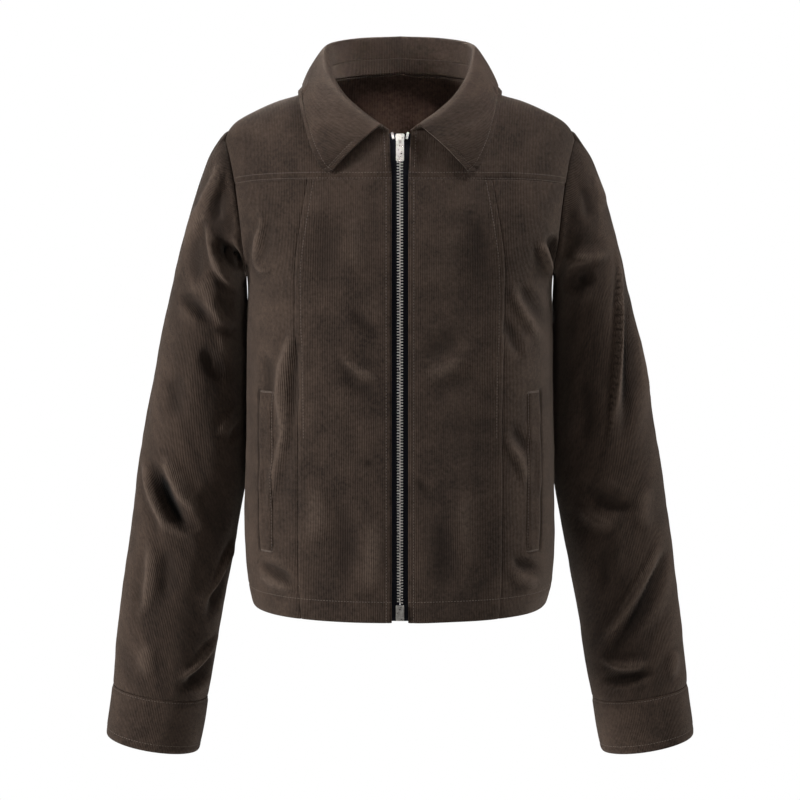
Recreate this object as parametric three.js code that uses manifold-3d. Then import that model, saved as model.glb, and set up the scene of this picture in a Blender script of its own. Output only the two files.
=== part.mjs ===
// A cropped jacket of fine-wale corduroy with a pointed collar, a front yoke, princess seams,
// slit pockets with welts, set-in sleeves with cuffs and a metal zip.
// The cloth is a hollow wall, filled out as when it is worn.
// Millimetres, +Z up, the front faces -Y. The origin is the middle of the neck, level with its side points.
import * as THREE from 'three';
import { mergeVertices } from 'three/addons/utils/BufferGeometryUtils.js';
import Module from 'manifold-3d';

const kernel = await Module();
kernel.setup();

const clothWall = 1.8;
const seamGap = 0.5;
const sideY = 6;              // the side and shoulder seams lie in this plane
const shoulderRound = 140;    // height over which the shoulder rounds over
const roundPower = 2.2;
const hemZ = -550;
const underarmZ = -205;
const shoulderTipZ = -54;
const armholeSteps = 12;      // facets along the armhole, from the underarm to the shoulder tip
const yokeStep = 7;           // the yoke seam meets the armhole at this facet's end
const yokeCentreZ = -103;
const neck = { halfWidth: 70, sideZ: -2, frontZ: -56, backZ: 6 };
const frontEdgeX = 9.5;       // half the width of the exposed zip tape
const armholeCut = 0.075;     // how far the armhole cuts into the body's half width
const neckWidthAtFront = 11;

// Rings of the body, from the hem up.
const bodyRings = [
  { z: -560, halfWidth: 154, front: 124, back: 115, square: 2.35 },
  { z: -550, halfWidth: 155.5, front: 126, back: 116, square: 2.35 },
  { z: -525, halfWidth: 160.5, front: 127, back: 117, square: 2.4 },
  { z: -465, halfWidth: 163.6, front: 128, back: 115, square: 2.45 },
  { z: -337, halfWidth: 160.6, front: 129, back: 109, square: 2.4 },
  { z: -250, halfWidth: 159.5, front: 127, back: 110, square: 2.35 },
  { z: -205, halfWidth: 160, front: 125, back: 111, square: 2.35 },
  { z: -170, halfWidth: 172, front: 123, back: 110, square: 2.35 },
  { z: -136, halfWidth: 179, front: 118, back: 108, square: 2.35 },
  { z: -100, halfWidth: 183.5, front: 110, back: 106, square: 2.35 },
  { z: -54, halfWidth: 186, front: 105, back: 106, square: 2.35 },
  { z: 30, halfWidth: 186, front: 104, back: 108, square: 2.35 },
];

// Height of the shoulder seam, from the middle of the neck outwards.
const shoulderLine = [
  { x: 0, z: 22 },
  { x: 40, z: 13 },
  { x: 70, z: -2 },
  { x: 102, z: -17 },
  { x: 127, z: -24.5 },
  { x: 149, z: -34 },
  { x: 169, z: -45 },
  { x: 178, z: -54 },
  { x: 186, z: -64 },
];

// The seam between the centre front and the side front, from the hem up.
const princessSeam = [
  { z: -560, x: 100.5 },
  { z: -505, x: 103.5 },
  { z: -414, x: 103.5 },
  { z: -306, x: 103.8 },
  { z: -241, x: 105.6 },
  { z: -186, x: 105.2 },
  { z: -140, x: 98.8 },
  { z: -103, x: 92.6 },
];

// Rings of a sleeve below the armhole: the outer and inner edge, the middle's Y and the half depth.
const sleeveRings = [
  { outerX: 200, outerZ: -85, innerX: 161, innerZ: -211, middleY: 10, halfDepth: 57 },
  { outerX: 218.8, outerZ: -138, innerX: 160.8, innerZ: -226, middleY: 17, halfDepth: 59 },
  { outerX: 233.8, outerZ: -192, innerX: 160.7, innerZ: -247, middleY: 25, halfDepth: 60 },
  { outerX: 248, outerZ: -250, innerX: 160.6, innerZ: -284, middleY: 32, halfDepth: 59 },
  { outerX: 259.5, outerZ: -305, innerX: 160.8, innerZ: -330, middleY: 37, halfDepth: 57 },
  { outerX: 268.8, outerZ: -353, innerX: 161.8, innerZ: -375, middleY: 40, halfDepth: 55 },
  { outerX: 277.4, outerZ: -399, innerX: 164, innerZ: -420, middleY: 41, halfDepth: 53 },
  { outerX: 284.4, outerZ: -444, innerX: 171.6, innerZ: -463, middleY: 40, halfDepth: 52 },
  { outerX: 291.2, outerZ: -492, innerX: 180, innerZ: -510, middleY: 38, halfDepth: 51 },
  { outerX: 298.4, outerZ: -549, innerX: 190.6, innerZ: -567, middleY: 35, halfDepth: 50 },
  { outerX: 304.8, outerZ: -602.6, innerX: 199.5, innerZ: -620.6, middleY: 32, halfDepth: 49 },
  { outerX: 308.8, outerZ: -644.6, innerX: 207, innerZ: -660, middleY: 29, halfDepth: 47 },
];
const cuffRings = [
  { outerX: 309.4, outerZ: -645, innerX: 206.4, innerZ: -660.4, middleY: 29, halfDepth: 47.6 },
  { outerX: 313, outerZ: -672, innerX: 210.8, innerZ: -689, middleY: 28.5, halfDepth: 47.2 },
  { outerX: 316.6, outerZ: -700, innerX: 216.5, innerZ: -718, middleY: 28, halfDepth: 46.4 },
];

// The collar on one side, from the middle of the back (s 0) round the neck to its front end (s 1).
// seam is how far round the front of the neck its seam point lies: 0 at the front end, 1 at the side.
const collarRoll = [
  { s: 0, x: 0, y: 68, z: 43.5, seam: 1 },
  { s: 0.17, x: 42, y: 59, z: 41, seam: 1 },
  { s: 0.315, x: 69, y: 34, z: 36, seam: 1 },
  { s: 0.43, x: 75, y: 6, z: 29, seam: 1 },
  { s: 0.54, x: 73, y: -18, z: 15, seam: 0.925 },
  { s: 0.645, x: 68, y: -40, z: 0, seam: 0.822 },
  { s: 0.78, x: 55, y: -66, z: -19.4, seam: 0.596 },
  { s: 0.905, x: 36, y: -84, z: -37, seam: 0.313 },
  { s: 1, x: 18.5, y: -95.5, z: -49.5, seam: 0 },
];
const collarEdge = [
  { s: 0, x: 0, y: 94, z: -14 },
  { s: 0.17, x: 56, y: 88, z: -16 },
  { s: 0.315, x: 92, y: 58, z: -17 },
  { s: 0.43, x: 102, y: 8, z: -14 },
  { s: 0.54, x: 101.5, y: -28, z: -24 },
  { s: 0.645, x: 98, y: -54, z: -40 },
  { s: 0.78, x: 90.5, y: -80, z: -66 },
  { s: 0.905, x: 82, y: -94, z: -86 },
  { s: 1, x: 73, y: -99, z: -101 },
];
const collar = { wall: 2.6, standPart: 0.43, backPart: 0.43, roll: 3.4, lift: 3.4, bulge: 3 };

const pocket = { middleX: 135.5, width: 13, topZ: -318, bottomZ: -484, wall: 1.6 };
const tape = { wall: 1, insideEdge: 0.35, outsideEdge: 14, topZ: -57, bottomZ: -548 };
const chain = { halfWidth: 3.3, front: 1.1, back: -1.8, topZ: -68, bottomZ: -529 };
const slider = { halfWidth: 4.6, height: 12, topZ: -59, front: 3.2, taper: 1.2 };
const bridge = { halfWidth: 1.1, height: 7, rise: 3.4, bar: 1, lowY: -9.5 };
const pull = {
  length: 22, halfWidth: 4, wall: 1.2, corner: 1.4, barRadius: 0.6, window: 5, hole: 1.3, holeUp: 4.5,
};
const box = { halfWidth: 4.2, height: 16, front: 1.9, topZ: -531 };
const stop = { width: 2.4, height: 7, wall: 1.9, lean: 0.22, middleX: 6.6, lowY: -4, back: -2.45 };

const corduroy = { color: 0x3a2e28, roughness: 0.95, metalness: 0 };
const tapeCloth = { color: 0x14151c, roughness: 0.9, metalness: 0 };
const nickel = { color: 0xa5a29c, roughness: 0.38, metalness: 1 };

// ---- helpers ----

// Smooth value of a table's column at a key, by a cubic through the rows.
function rowValue(table, keyName, key, column) {
  const last = table.length - 1;
  let i = 0;
  while (i < last - 1 && key > table[i + 1][keyName]) i += 1;
  const x0 = table[i][keyName];
  const x1 = table[i + 1][keyName];
  const t = THREE.MathUtils.clamp((key - x0) / (x1 - x0), 0, 1);
  const slope = (j) => {
    const before = table[Math.max(j - 1, 0)];
    const after = table[Math.min(j + 1, last)];
    return (after[column] - before[column]) / (after[keyName] - before[keyName]);
  };
  const span = x1 - x0;
  const a = table[i][column];
  const b = table[i + 1][column];
  const t2 = t * t;
  const t3 = t2 * t;
  return a * (2 * t3 - 3 * t2 + 1) + slope(i) * span * (t3 - 2 * t2 + t)
    + b * (3 * t2 - 2 * t3) + slope(i + 1) * span * (t3 - t2);
}

const mix = THREE.MathUtils.lerp;

function mesh(name, geometry, look) {
  const piece = new THREE.Mesh(geometry, new THREE.MeshStandardMaterial(look));
  piece.name = name;
  return piece;
}

// A closed wall between two grids of points, grid[row][column].
// A closed grid joins its last column to its first.
function wallGeometry(outer, inner, closed = false) {
  const rows = outer.length;
  const columns = outer[0].length;
  const positions = [...outer.flat(), ...inner.flat()].flatMap((p) => [p.x, p.y, p.z]);
  const at = (layer, row, column) => (layer * rows + row) * columns + (column % columns);
  const index = [];
  const quad = (a, b, c, d) => index.push(a, b, c, a, c, d);
  const spans = closed ? columns : columns - 1;
  for (let row = 0; row < rows - 1; row += 1) {
    for (let column = 0; column < spans; column += 1) {
      quad(at(0, row, column), at(0, row, column + 1), at(0, row + 1, column + 1), at(0, row + 1, column));
      quad(at(1, row, column), at(1, row + 1, column), at(1, row + 1, column + 1), at(1, row, column + 1));
    }
  }
  for (let column = 0; column < spans; column += 1) {
    quad(at(0, 0, column), at(1, 0, column), at(1, 0, column + 1), at(0, 0, column + 1));
    const top = rows - 1;
    quad(at(0, top, column), at(0, top, column + 1), at(1, top, column + 1), at(1, top, column));
  }
  if (!closed) {
    for (let row = 0; row < rows - 1; row += 1) {
      quad(at(0, row, 0), at(0, row + 1, 0), at(1, row + 1, 0), at(1, row, 0));
      const edge = columns - 1;
      quad(at(0, row, edge), at(1, row, edge), at(1, row + 1, edge), at(0, row + 1, edge));
    }
  }
  const geometry = new THREE.BufferGeometry();
  geometry.setAttribute('position', new THREE.Float32BufferAttribute(positions, 3));
  geometry.setIndex(index);
  return facingOut(geometry);
}

// Turns every face round where the solid is inside out.
function facingOut(geometry) {
  const p = geometry.getAttribute('position');
  const index = [...geometry.index.array];
  const corner = (i) => new THREE.Vector3().fromBufferAttribute(p, index[i]);
  let volume = 0;
  for (let i = 0; i < index.length; i += 3) {
    volume += corner(i).dot(corner(i + 1).cross(corner(i + 2)));
  }
  if (volume < 0) {
    for (let i = 0; i < index.length; i += 3) {
      [index[i + 1], index[i + 2]] = [index[i + 2], index[i + 1]];
    }
    geometry.setIndex(index);
  }
  geometry.computeVertexNormals();
  return geometry;
}

// The same grid on the other side of the jacket.
function mirrored(grid) {
  return grid.map((row) => row.map((p) => new THREE.Vector3(-p.x, p.y, p.z)));
}

function bothSides(name, outer, inner, look, closed) {
  return [
    mesh(`${name}-right`, wallGeometry(outer, inner, closed), look),
    mesh(`${name}-left`, wallGeometry(mirrored(outer), mirrored(inner), closed), look),
  ];
}

// ---- body ----

// A point of the body's outer face. face is -1 on the front and 1 on the back.
// theta runs from 0 at the middle to a right angle at the side.
function bodyPoint(face, theta, z) {
  const ring = (column) => rowValue(bodyRings, 'z', z, column);
  const power = 2 / ring('square');
  const swing = Math.min(Math.abs(theta), Math.PI / 2);
  const x = ring('halfWidth') * Math.sin(swing) ** power;
  const depth = ring(face < 0 ? 'front' : 'back') * Math.max(Math.cos(swing), 0) ** power;
  const below = (rowValue(shoulderLine, 'x', x, 'z') - z) / shoulderRound;
  const rounded = (1 - (1 - THREE.MathUtils.clamp(below, 0, 1)) ** roundPower) ** (1 / roundPower);
  return new THREE.Vector3(Math.sign(theta) * x, sideY + face * (depth * rounded + seamGap / 2), z);
}

function bodyNormal(face, theta, z) {
  const step = 1e-3;
  const side = theta < 0 ? -1 : 1;
  const here = bodyPoint(face, theta, z);
  const along = bodyPoint(face, theta - side * step, z).sub(here).multiplyScalar(-side);
  const up = here.clone().sub(bodyPoint(face, theta, z - step * 20));
  const normal = along.cross(up).multiplyScalar(-face);
  return normal.normalize();
}

// The body's wall, moved out by a distance.
function bodyMoved(face, theta, z, distance) {
  return bodyPoint(face, theta, z).addScaledVector(bodyNormal(face, theta, z), distance);
}

function thetaAt(x, z) {
  const power = rowValue(bodyRings, 'z', z, 'square') / 2;
  const part = Math.min(Math.abs(x) / rowValue(bodyRings, 'z', z, 'halfWidth'), 1);
  return Math.sign(x) * Math.asin(part ** power);
}

// The armhole on one face, from the underarm (t 0) to the shoulder tip (t 1), as [theta, z].
function armhole(t) {
  const turn = Math.PI * t;
  const middle = (underarmZ + shoulderTipZ) / 2;
  const half = (shoulderTipZ - underarmZ) / 2;
  const z = middle - half * Math.cos(turn);
  const halfWidth = rowValue(bodyRings, 'z', z, 'halfWidth');
  const cut = 1 - armholeCut * Math.sin(turn) ** 1.7;
  // Near the tip the armhole keeps inside the shoulder line, so that it rounds over the shoulder.
  const x = Math.min(halfWidth * cut, shoulderX(mix(shoulderTipZ, z, 0.4)));
  return [thetaAt(x, z), z];
}

function shoulderX(z) {
  let x = shoulderLine.at(-1).x;
  while (x > 0 && rowValue(shoulderLine, 'x', x, 'z') < z) x -= 0.01;
  return x;
}

// A patch between four edges, each a function of 0 to 1 that gives [theta, z], as rows of such places.
function patch({ bottom, top, start, end }, columns, rows) {
  return rows.map((v) => columns.map((u) => [0, 1].map((k) => {
    const ruled = mix(bottom(u)[k], top(u)[k], v) + mix(start(v)[k], end(v)[k], u);
    const corners = mix(mix(bottom(0)[k], bottom(1)[k], u), mix(top(0)[k], top(1)[k], u), v);
    return ruled - corners;
  })));
}

// The cloth at rows of places on one face of the body: its outer and inner points.
function bodyCloth(face, rows) {
  const layer = (distance) => rows.map((row) => (
    row.map(([theta, z]) => bodyMoved(face, theta, z, distance))));
  return [layer(0), layer(-clothWall)];
}

const steps = (count) => Array.from({ length: count + 1 }, (_, i) => i / count);

// Steps that crowd together towards the shoulder, where the body rounds over, and the way back.
const crowd = (t) => 1 - (1 - t) ** 1.8;
const uncrowd = (t) => 1 - (1 - t) ** (1 / 1.8);

function neckFront(w) {
  const turn = mix(Math.asin(neckWidthAtFront / neck.halfWidth), Math.PI / 2, w);
  return [neck.halfWidth * Math.sin(turn), mix(neck.sideZ, neck.frontZ, Math.cos(turn) ** 1.3)];
}

// The back of the neck, round as the body's rounded shoulder lets it be.
// w is 0 at the middle and 1 at the side.
function neckBack(w) {
  const turn = w * Math.PI / 2;
  const x = neck.halfWidth * Math.sin(turn);
  const drop = shoulderLine[0].z - neck.backZ;
  return [x, rowValue(shoulderLine, 'x', x, 'z') - drop * Math.cos(turn) ** roundPower];
}

const toTheta = ([x, z]) => [thetaAt(x, z), z];

// How far round the front of the neck a place along the collar lies.
function neckSeam(s) {
  return THREE.MathUtils.clamp(rowValue(collarRoll, 's', s, 'seam'), 0, 1);
}

function shoulderAt(w) {
  const x = mix(neck.halfWidth, shoulderX(shoulderTipZ), w);
  return [x, rowValue(shoulderLine, 'x', x, 'z') - 0.001];
}

const yokeEnd = bodyPoint(-1, ...armhole(yokeStep / armholeSteps));

// Height of the seam under the yoke at a distance from the middle: nearly level, then down to the armhole.
function yokeSeam(x) {
  const across = THREE.MathUtils.clamp((x - frontEdgeX) / (yokeEnd.x - frontEdgeX), 0, 1);
  return mix(yokeCentreZ, yokeEnd.z, 0.12 * across + 0.88 * across ** 6);
}

const lowZ = steps(10).map((t) => mix(hemZ, underarmZ, t));

// How far up each facet of the armhole lies between the underarm and the yoke.
const frontRises = steps(yokeStep).slice(1)
  .map((t) => (armhole(t * yokeStep / armholeSteps)[1] - underarmZ) / (yokeEnd.z - underarmZ));

function princessX(z) {
  return rowValue(princessSeam, 'z', z, 'x');
}

function centreFront() {
  const half = seamGap / 2;
  const columns = steps(6);
  const line = (zAt) => columns.map((u) => {
    const z = zAt(mix(frontEdgeX, princessX(yokeCentreZ), u));
    return toTheta([mix(frontEdgeX, princessX(z) - half, u), z]);
  });
  const low = lowZ.map((z) => line(() => z));
  const high = frontRises.map((rise) => line((x) => mix(underarmZ, yokeSeam(x) - half, rise)));
  return bodyCloth(-1, [...low, ...high]);
}

function sideFront() {
  const half = seamGap / 2;
  const columns = steps(6);
  const princess = (z) => toTheta([princessX(z) + half, z]);
  const line = (u, z) => [mix(princess(z)[0], Math.PI / 2, u), z];
  const low = lowZ.map((z) => columns.map((u) => line(u, z)));
  const topX = princessX(yokeCentreZ) + half;
  const rise = (v) => (v === 0 ? 0 : frontRises[Math.round(v * yokeStep) - 1]);
  const end = (v) => {
    const [theta, z] = armhole(v * yokeStep / armholeSteps);
    return [theta, z - v * half];
  };
  const top = (u) => {
    const x = mix(topX, yokeEnd.x, u);
    return u === 1 ? end(1) : toTheta([x, yokeSeam(x) - half]);
  };
  const high = patch({
    bottom: (u) => line(u, underarmZ),
    top,
    start: (v) => (v === 1 ? top(0) : princess(mix(underarmZ, top(0)[1], rise(v)))),
    end,
  }, columns, steps(yokeStep).slice(1));
  return bodyCloth(-1, [...low, ...high]);
}

// The seam round the neck and along the shoulder on one face, from the middle (u 0) to the tip (u 1).
function topEdge(face, u) {
  const neckPart = 0.5;
  if (u > neckPart) return toTheta(shoulderAt((u - neckPart) / (1 - neckPart)));
  if (face > 0) return toTheta(neckBack(u / neckPart));
  return toTheta(neckFront(neckSeam(mix(1, collar.backPart, u / neckPart))));
}

function frontYoke() {
  const half = seamGap / 2;
  const start = armhole(yokeStep / armholeSteps);
  const end = (v) => {
    if (v === 0) return [start[0], start[1] + half];
    return v === 1 ? topEdge(-1, 1) : armhole(mix(yokeStep / armholeSteps, 1, uncrowd(v)));
  };
  const bottom = (u) => {
    const x = mix(frontEdgeX, yokeEnd.x, u);
    return u === 1 ? end(0) : toTheta([x, yokeSeam(x) + half]);
  };
  const inner = (v) => {
    const [x, z] = neckFront(0);
    return toTheta([mix(frontEdgeX, x, v), mix(bottom(0)[1], z, v)]);
  };
  return bodyCloth(-1, patch({
    bottom,
    top: (u) => topEdge(-1, u),
    start: inner,
    end,
  }, steps(12), steps(armholeSteps - yokeStep).map(crowd)));
}

function back() {
  const columns = steps(24);
  const mirror = ([theta, z]) => [-theta, z];
  const line = (u, z) => [(u * 2 - 1) * Math.PI / 2, z];
  const edge = (v) => (v === 1 ? topEdge(1, 1) : armhole(uncrowd(v)));
  const low = lowZ.map((z) => columns.map((u) => line(u, z)));
  const high = patch({
    bottom: (u) => line(u, underarmZ),
    top: (u) => (u < 0.5 ? mirror(topEdge(1, 1 - u * 2)) : topEdge(1, u * 2 - 1)),
    start: (v) => mirror(edge(v)),
    end: edge,
  }, columns, steps(armholeSteps).slice(1).map(crowd));
  return bodyCloth(1, [...low, ...high]);
}

// ---- sleeves ----

const sleeveSides = armholeSteps * 2;

function ringPoint(ring, turn, shrink) {
  const outward = new THREE.Vector3(ring.outerX - ring.innerX, 0, ring.outerZ - ring.innerZ);
  const half = outward.length() / 2 - shrink;
  outward.normalize();
  const middle = new THREE.Vector3((ring.outerX + ring.innerX) / 2, ring.middleY,
    (ring.outerZ + ring.innerZ) / 2);
  middle.addScaledVector(outward, half * Math.cos(turn));
  middle.y += (ring.halfDepth - shrink) * Math.sin(turn);
  return middle;
}

// A point of the armhole's outer face and the direction of its wall; turn 0 is the shoulder tip.
function armholePoint(turn) {
  const face = Math.sin(turn) < 0 ? -1 : 1;
  const t = (1 + Math.cos(turn)) / 2;
  const along = Math.acos(1 - 2 * t) / Math.PI;
  const [theta, z] = along > 0.999 ? toTheta(shoulderAt(1)) : armhole(along);
  return { point: bodyPoint(face, theta, z), normal: bodyNormal(face, theta, z) };
}

function sleeve() {
  const outer = [];
  const inner = [];
  const turns = steps(sleeveSides).slice(0, -1).map((t) => t * 2 * Math.PI);
  const first = turns.map((turn) => {
    const { point, normal } = armholePoint(turn);
    const low = Math.max(-Math.cos(turn), 0) ** 3;
    const high = Math.max(Math.cos(turn), 0) ** 3;
    point.x += seamGap * 2;
    point.z += seamGap * low;
    return { point, normal, low, high };
  });
  outer.push(first.map(({ point }) => point));
  inner.push(first.map(({ point, normal }) => point.clone().addScaledVector(normal, -clothWall)));
  // The second ring stands out from the armhole, and its wall faces the sleeve's middle.
  const stand = 3.4;
  const middle = first.reduce((sum, { point }) => sum.add(point), new THREE.Vector3());
  middle.divideScalar(turns.length);
  const second = first.map(({ point, low, high }) => (
    point.clone().add(new THREE.Vector3(stand * (1 - 0.75 * low), 0, -low - stand * high))));
  outer.push(second);
  inner.push(second.map((p) => {
    const inward = middle.clone().sub(p).setX(0).normalize();
    return p.clone().addScaledVector(inward, clothWall);
  }));
  for (const ring of sleeveRings) {
    outer.push(turns.map((turn) => ringPoint(ring, turn, 0)));
    inner.push(turns.map((turn) => ringPoint(ring, turn, clothWall)));
  }
  return [outer, inner];
}

function cuff() {
  const turns = steps(sleeveSides).slice(0, -1).map((t) => t * 2 * Math.PI);
  return [
    cuffRings.map((ring) => turns.map((turn) => ringPoint(ring, turn, 0))),
    cuffRings.map((ring) => turns.map((turn) => ringPoint(ring, turn, clothWall + 0.6))),
  ];
}

// ---- collar ----

function tablePoint(table, s) {
  const side = s < 0 ? -1 : 1;
  const value = (column) => rowValue(table, 's', Math.abs(s), column);
  return new THREE.Vector3(side * value('x'), value('y'), value('z'));
}

// A point of the neck seam; s is -1 and 1 at the front ends and 0 at the middle of the back.
function neckPoint(s) {
  const size = Math.abs(s);
  const onBack = size < collar.backPart;
  const [x, z] = onBack ? neckBack(size / collar.backPart) : neckFront(neckSeam(size));
  const point = bodyPoint(onBack ? 1 : -1, thetaAt(x, z), z);
  point.x *= s < 0 ? -1 : 1;
  return point;
}

// Places along the collar, level with the facets of the neck seam.
const halfCollar = [
  ...steps(6).map((t) => t * collar.backPart),
  ...steps(6).slice(1).map((t) => mix(collar.backPart, 1, t)),
];
const alongCollar = [...halfCollar.slice(1).reverse().map((s) => -s), ...halfCollar];

// The level direction out of the neck.
function neckOut(s) {
  const before = tablePoint(collarRoll, Math.max(s - 0.02, -1));
  const along = tablePoint(collarRoll, Math.min(s + 0.02, 1)).sub(before);
  return new THREE.Vector3(-along.y, along.x, 0).normalize();
}

// How far a point is outside the body, about, from its depth there and how fast that changes.
function outsideBody(p) {
  const excess = (x, y, z) => {
    const ring = (column) => rowValue(bodyRings, 'z', z, column);
    const part = Math.min(Math.abs(x) / ring('halfWidth'), 1);
    const square = ring('square');
    const depth = ring(y < sideY ? 'front' : 'back') * (1 - part ** square) ** (1 / square);
    const below = (rowValue(shoulderLine, 'x', Math.abs(x), 'z') - z) / shoulderRound;
    const size = Math.min(Math.abs(below), 1);
    const rounded = Math.sign(below) * (1 - (1 - size) ** roundPower) ** (1 / roundPower);
    return Math.abs(y - sideY) - depth * rounded;
  };
  const step = 0.2;
  const here = excess(p.x, p.y, p.z);
  const slope = new THREE.Vector3(
    excess(p.x + step, p.y, p.z) - excess(p.x - step, p.y, p.z),
    excess(p.x, p.y + step, p.z) - excess(p.x, p.y - step, p.z),
    excess(p.x, p.y, p.z + step) - excess(p.x, p.y, p.z - step),
  ).divideScalar(step * 2);
  return { distance: here / slope.length(), direction: slope.normalize() };
}

// Moves a point out until it is clear of the body by a distance.
function clearOfBody(p, clearance) {
  for (let turn = 0; turn < 4; turn += 1) {
    const { distance, direction } = outsideBody(p);
    if (distance < clearance) p.addScaledVector(direction, clearance - distance);
  }
  return p;
}

// The wall round a middle surface: sections[i] is a list of points across the collar at alongCollar[i].
function wallRound(sections, wall) {
  const count = sections[0].length;
  const outer = [];
  const inner = [];
  for (let row = 0; row < count; row += 1) {
    const sides = sections.map((section, i) => {
      const along = section[Math.min(row + 1, count - 1)].clone().sub(section[Math.max(row - 1, 0)]);
      const next = sections[Math.min(i + 1, sections.length - 1)][row];
      const across = next.clone().sub(sections[Math.max(i - 1, 0)][row]);
      return along.cross(across).normalize().multiplyScalar(wall / 2);
    });
    outer.push(sections.map((section, i) => section[row].clone().sub(sides[i])));
    inner.push(sections.map((section, i) => section[row].clone().add(sides[i])));
  }
  return [outer, inner];
}

function collarStand() {
  return wallRound(alongCollar.map((s) => {
    const low = neckPoint(s);
    const rise = tablePoint(collarRoll, s).sub(low).multiplyScalar(collar.standPart);
    const length = rise.length();
    rise.normalize();
    const rows = [seamGap * 2, length / 2, length - seamGap * 2.2];
    return rows.map((d) => low.clone().addScaledVector(rise, d));
  }), clothWall);
}

// The collar's section at s: up inside the neck, over the roll and down to the edge.
function collarSection(s) {
  const roll = tablePoint(collarRoll, s);
  const edge = tablePoint(collarEdge, s);
  const out = neckOut(s);
  const start = neckPoint(s).lerp(roll, collar.standPart);
  const bow = out.clone().setZ(0.6).normalize();
  const down = new THREE.Vector3(0, 0, -1.4);
  const points = [start, start.clone().lerp(roll, 0.6), roll.clone().add(down)];
  points.push(roll.clone().addScaledVector(out, collar.roll / 2));
  for (const w of [0.08, 0.3, 0.55, 0.8, 1]) {
    const p = roll.clone().addScaledVector(out, collar.roll).lerp(edge, w);
    p.addScaledVector(bow, collar.bulge * Math.sin(Math.PI * w));
    points.push(w < 0.2 ? p : clearOfBody(p, collar.lift));
  }
  return points;
}

function collarFall() {
  return wallRound(alongCollar.map(collarSection), collar.wall);
}

// ---- pockets and zip ----

function pocketWelt() {
  const across = [-0.5, -0.17, 0.17, 0.5].map((part) => pocket.middleX + part * pocket.width);
  const heights = steps(10).map((t) => mix(pocket.bottomZ, pocket.topZ, t));
  const grid = (distance) => heights.map((z) => (
    across.map((x) => bodyMoved(-1, thetaAt(x, z), z, distance))));
  return [grid(seamGap + pocket.wall), grid(seamGap)];
}

// A strip along the middle of the front, between two distances from the cloth's outer face.
function frontStrip(fromX, toX, bottomZ, topZ, back, front, rows) {
  const heights = steps(rows).map((t) => mix(bottomZ, topZ, t));
  const grid = (distance) => heights.map((z) => [fromX, toX].map((x) => {
    const p = bodyMoved(-1, thetaAt(Math.max(Math.abs(x), 0.01), z), z, distance);
    p.x = x;
    return p;
  }));
  return [grid(front), grid(back)];
}

function zipTape() {
  const front = -clothWall - 0.6;
  const back = front - tape.wall;
  return frontStrip(tape.insideEdge, tape.outsideEdge, tape.bottomZ, tape.topZ, back, front, 16);
}

function zipChain() {
  return frontStrip(-chain.halfWidth, chain.halfWidth, chain.bottomZ, chain.topZ - slider.height,
    chain.back, chain.front, 16);
}

// A flat-sided piece from its outline across and up the front, between two distances out of it.
function plate(points, back, front, holes = []) {
  const outline = new THREE.Shape(points.map(([x, y]) => new THREE.Vector2(x, y)));
  outline.holes = holes;
  const geometry = new THREE.ExtrudeGeometry(outline, { depth: front - back, bevelEnabled: false });
  return geometry.translate(0, 0, back);
}

// A frame on the middle of the front: X across, Y up the cloth and Z out of it.
function frontFrame(z) {
  const frame = new THREE.Group();
  const place = bodyPoint(-1, 0.001, z);
  const normal = bodyNormal(-1, 0.001, z);
  frame.position.set(0, place.y, place.z);
  frame.rotation.x = Math.PI / 2 - Math.atan2(normal.z, -normal.y);
  return frame;
}

// The slider's tapered plate, joined to the bridge that carries the pull.
function sliderGeometry() {
  const { halfWidth, height, front, taper } = slider;
  const narrow = halfWidth - taper;
  const body = plate([[-narrow, -height], [narrow, -height], [halfWidth, -taper], [narrow, 0], [-narrow, 0],
    [-halfWidth, -taper]], chain.back, front);
  const low = bridge.lowY;
  const high = low + bridge.height;
  const foot = front - 0.4;
  const top = front + bridge.rise;
  const arch = new THREE.Shape([[low, foot], [low, top - bridge.bar], [low + bridge.bar, top],
    [high - bridge.bar, top], [high, top - bridge.bar], [high, foot], [high - bridge.bar, foot],
    [high - bridge.bar, top - bridge.bar], [low + bridge.bar, top - bridge.bar], [low + bridge.bar, foot],
  ].map(([y, z]) => new THREE.Vector2(y, z)));
  const strap = new THREE.ExtrudeGeometry(arch, { depth: bridge.halfWidth * 2, bevelEnabled: false });
  strap.translate(0, 0, -bridge.halfWidth);
  // The arch is drawn across Y and Z, so its own X, Y and Z turn to Y, Z and X.
  strap.applyMatrix4(new THREE.Matrix4().set(0, 0, 1, 0, 1, 0, 0, 0, 0, 1, 0, 0, 0, 0, 0, 1));
  return joined(body, strap);
}

function solid(geometry) {
  const bare = geometry.clone();
  bare.deleteAttribute('normal');
  bare.deleteAttribute('uv');
  const merged = mergeVertices(bare, 1e-4);
  return new kernel.Manifold(new kernel.Mesh({
    numProp: 3,
    vertProperties: new Float32Array(merged.attributes.position.array),
    triVerts: new Uint32Array(merged.index.array),
  }));
}

function joined(first, second) {
  const result = solid(first).add(solid(second)).getMesh();
  const geometry = new THREE.BufferGeometry();
  geometry.setAttribute('position', new THREE.Float32BufferAttribute(result.vertProperties, 3));
  geometry.setIndex([...result.triVerts]);
  geometry.computeVertexNormals();
  return geometry;
}

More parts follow.
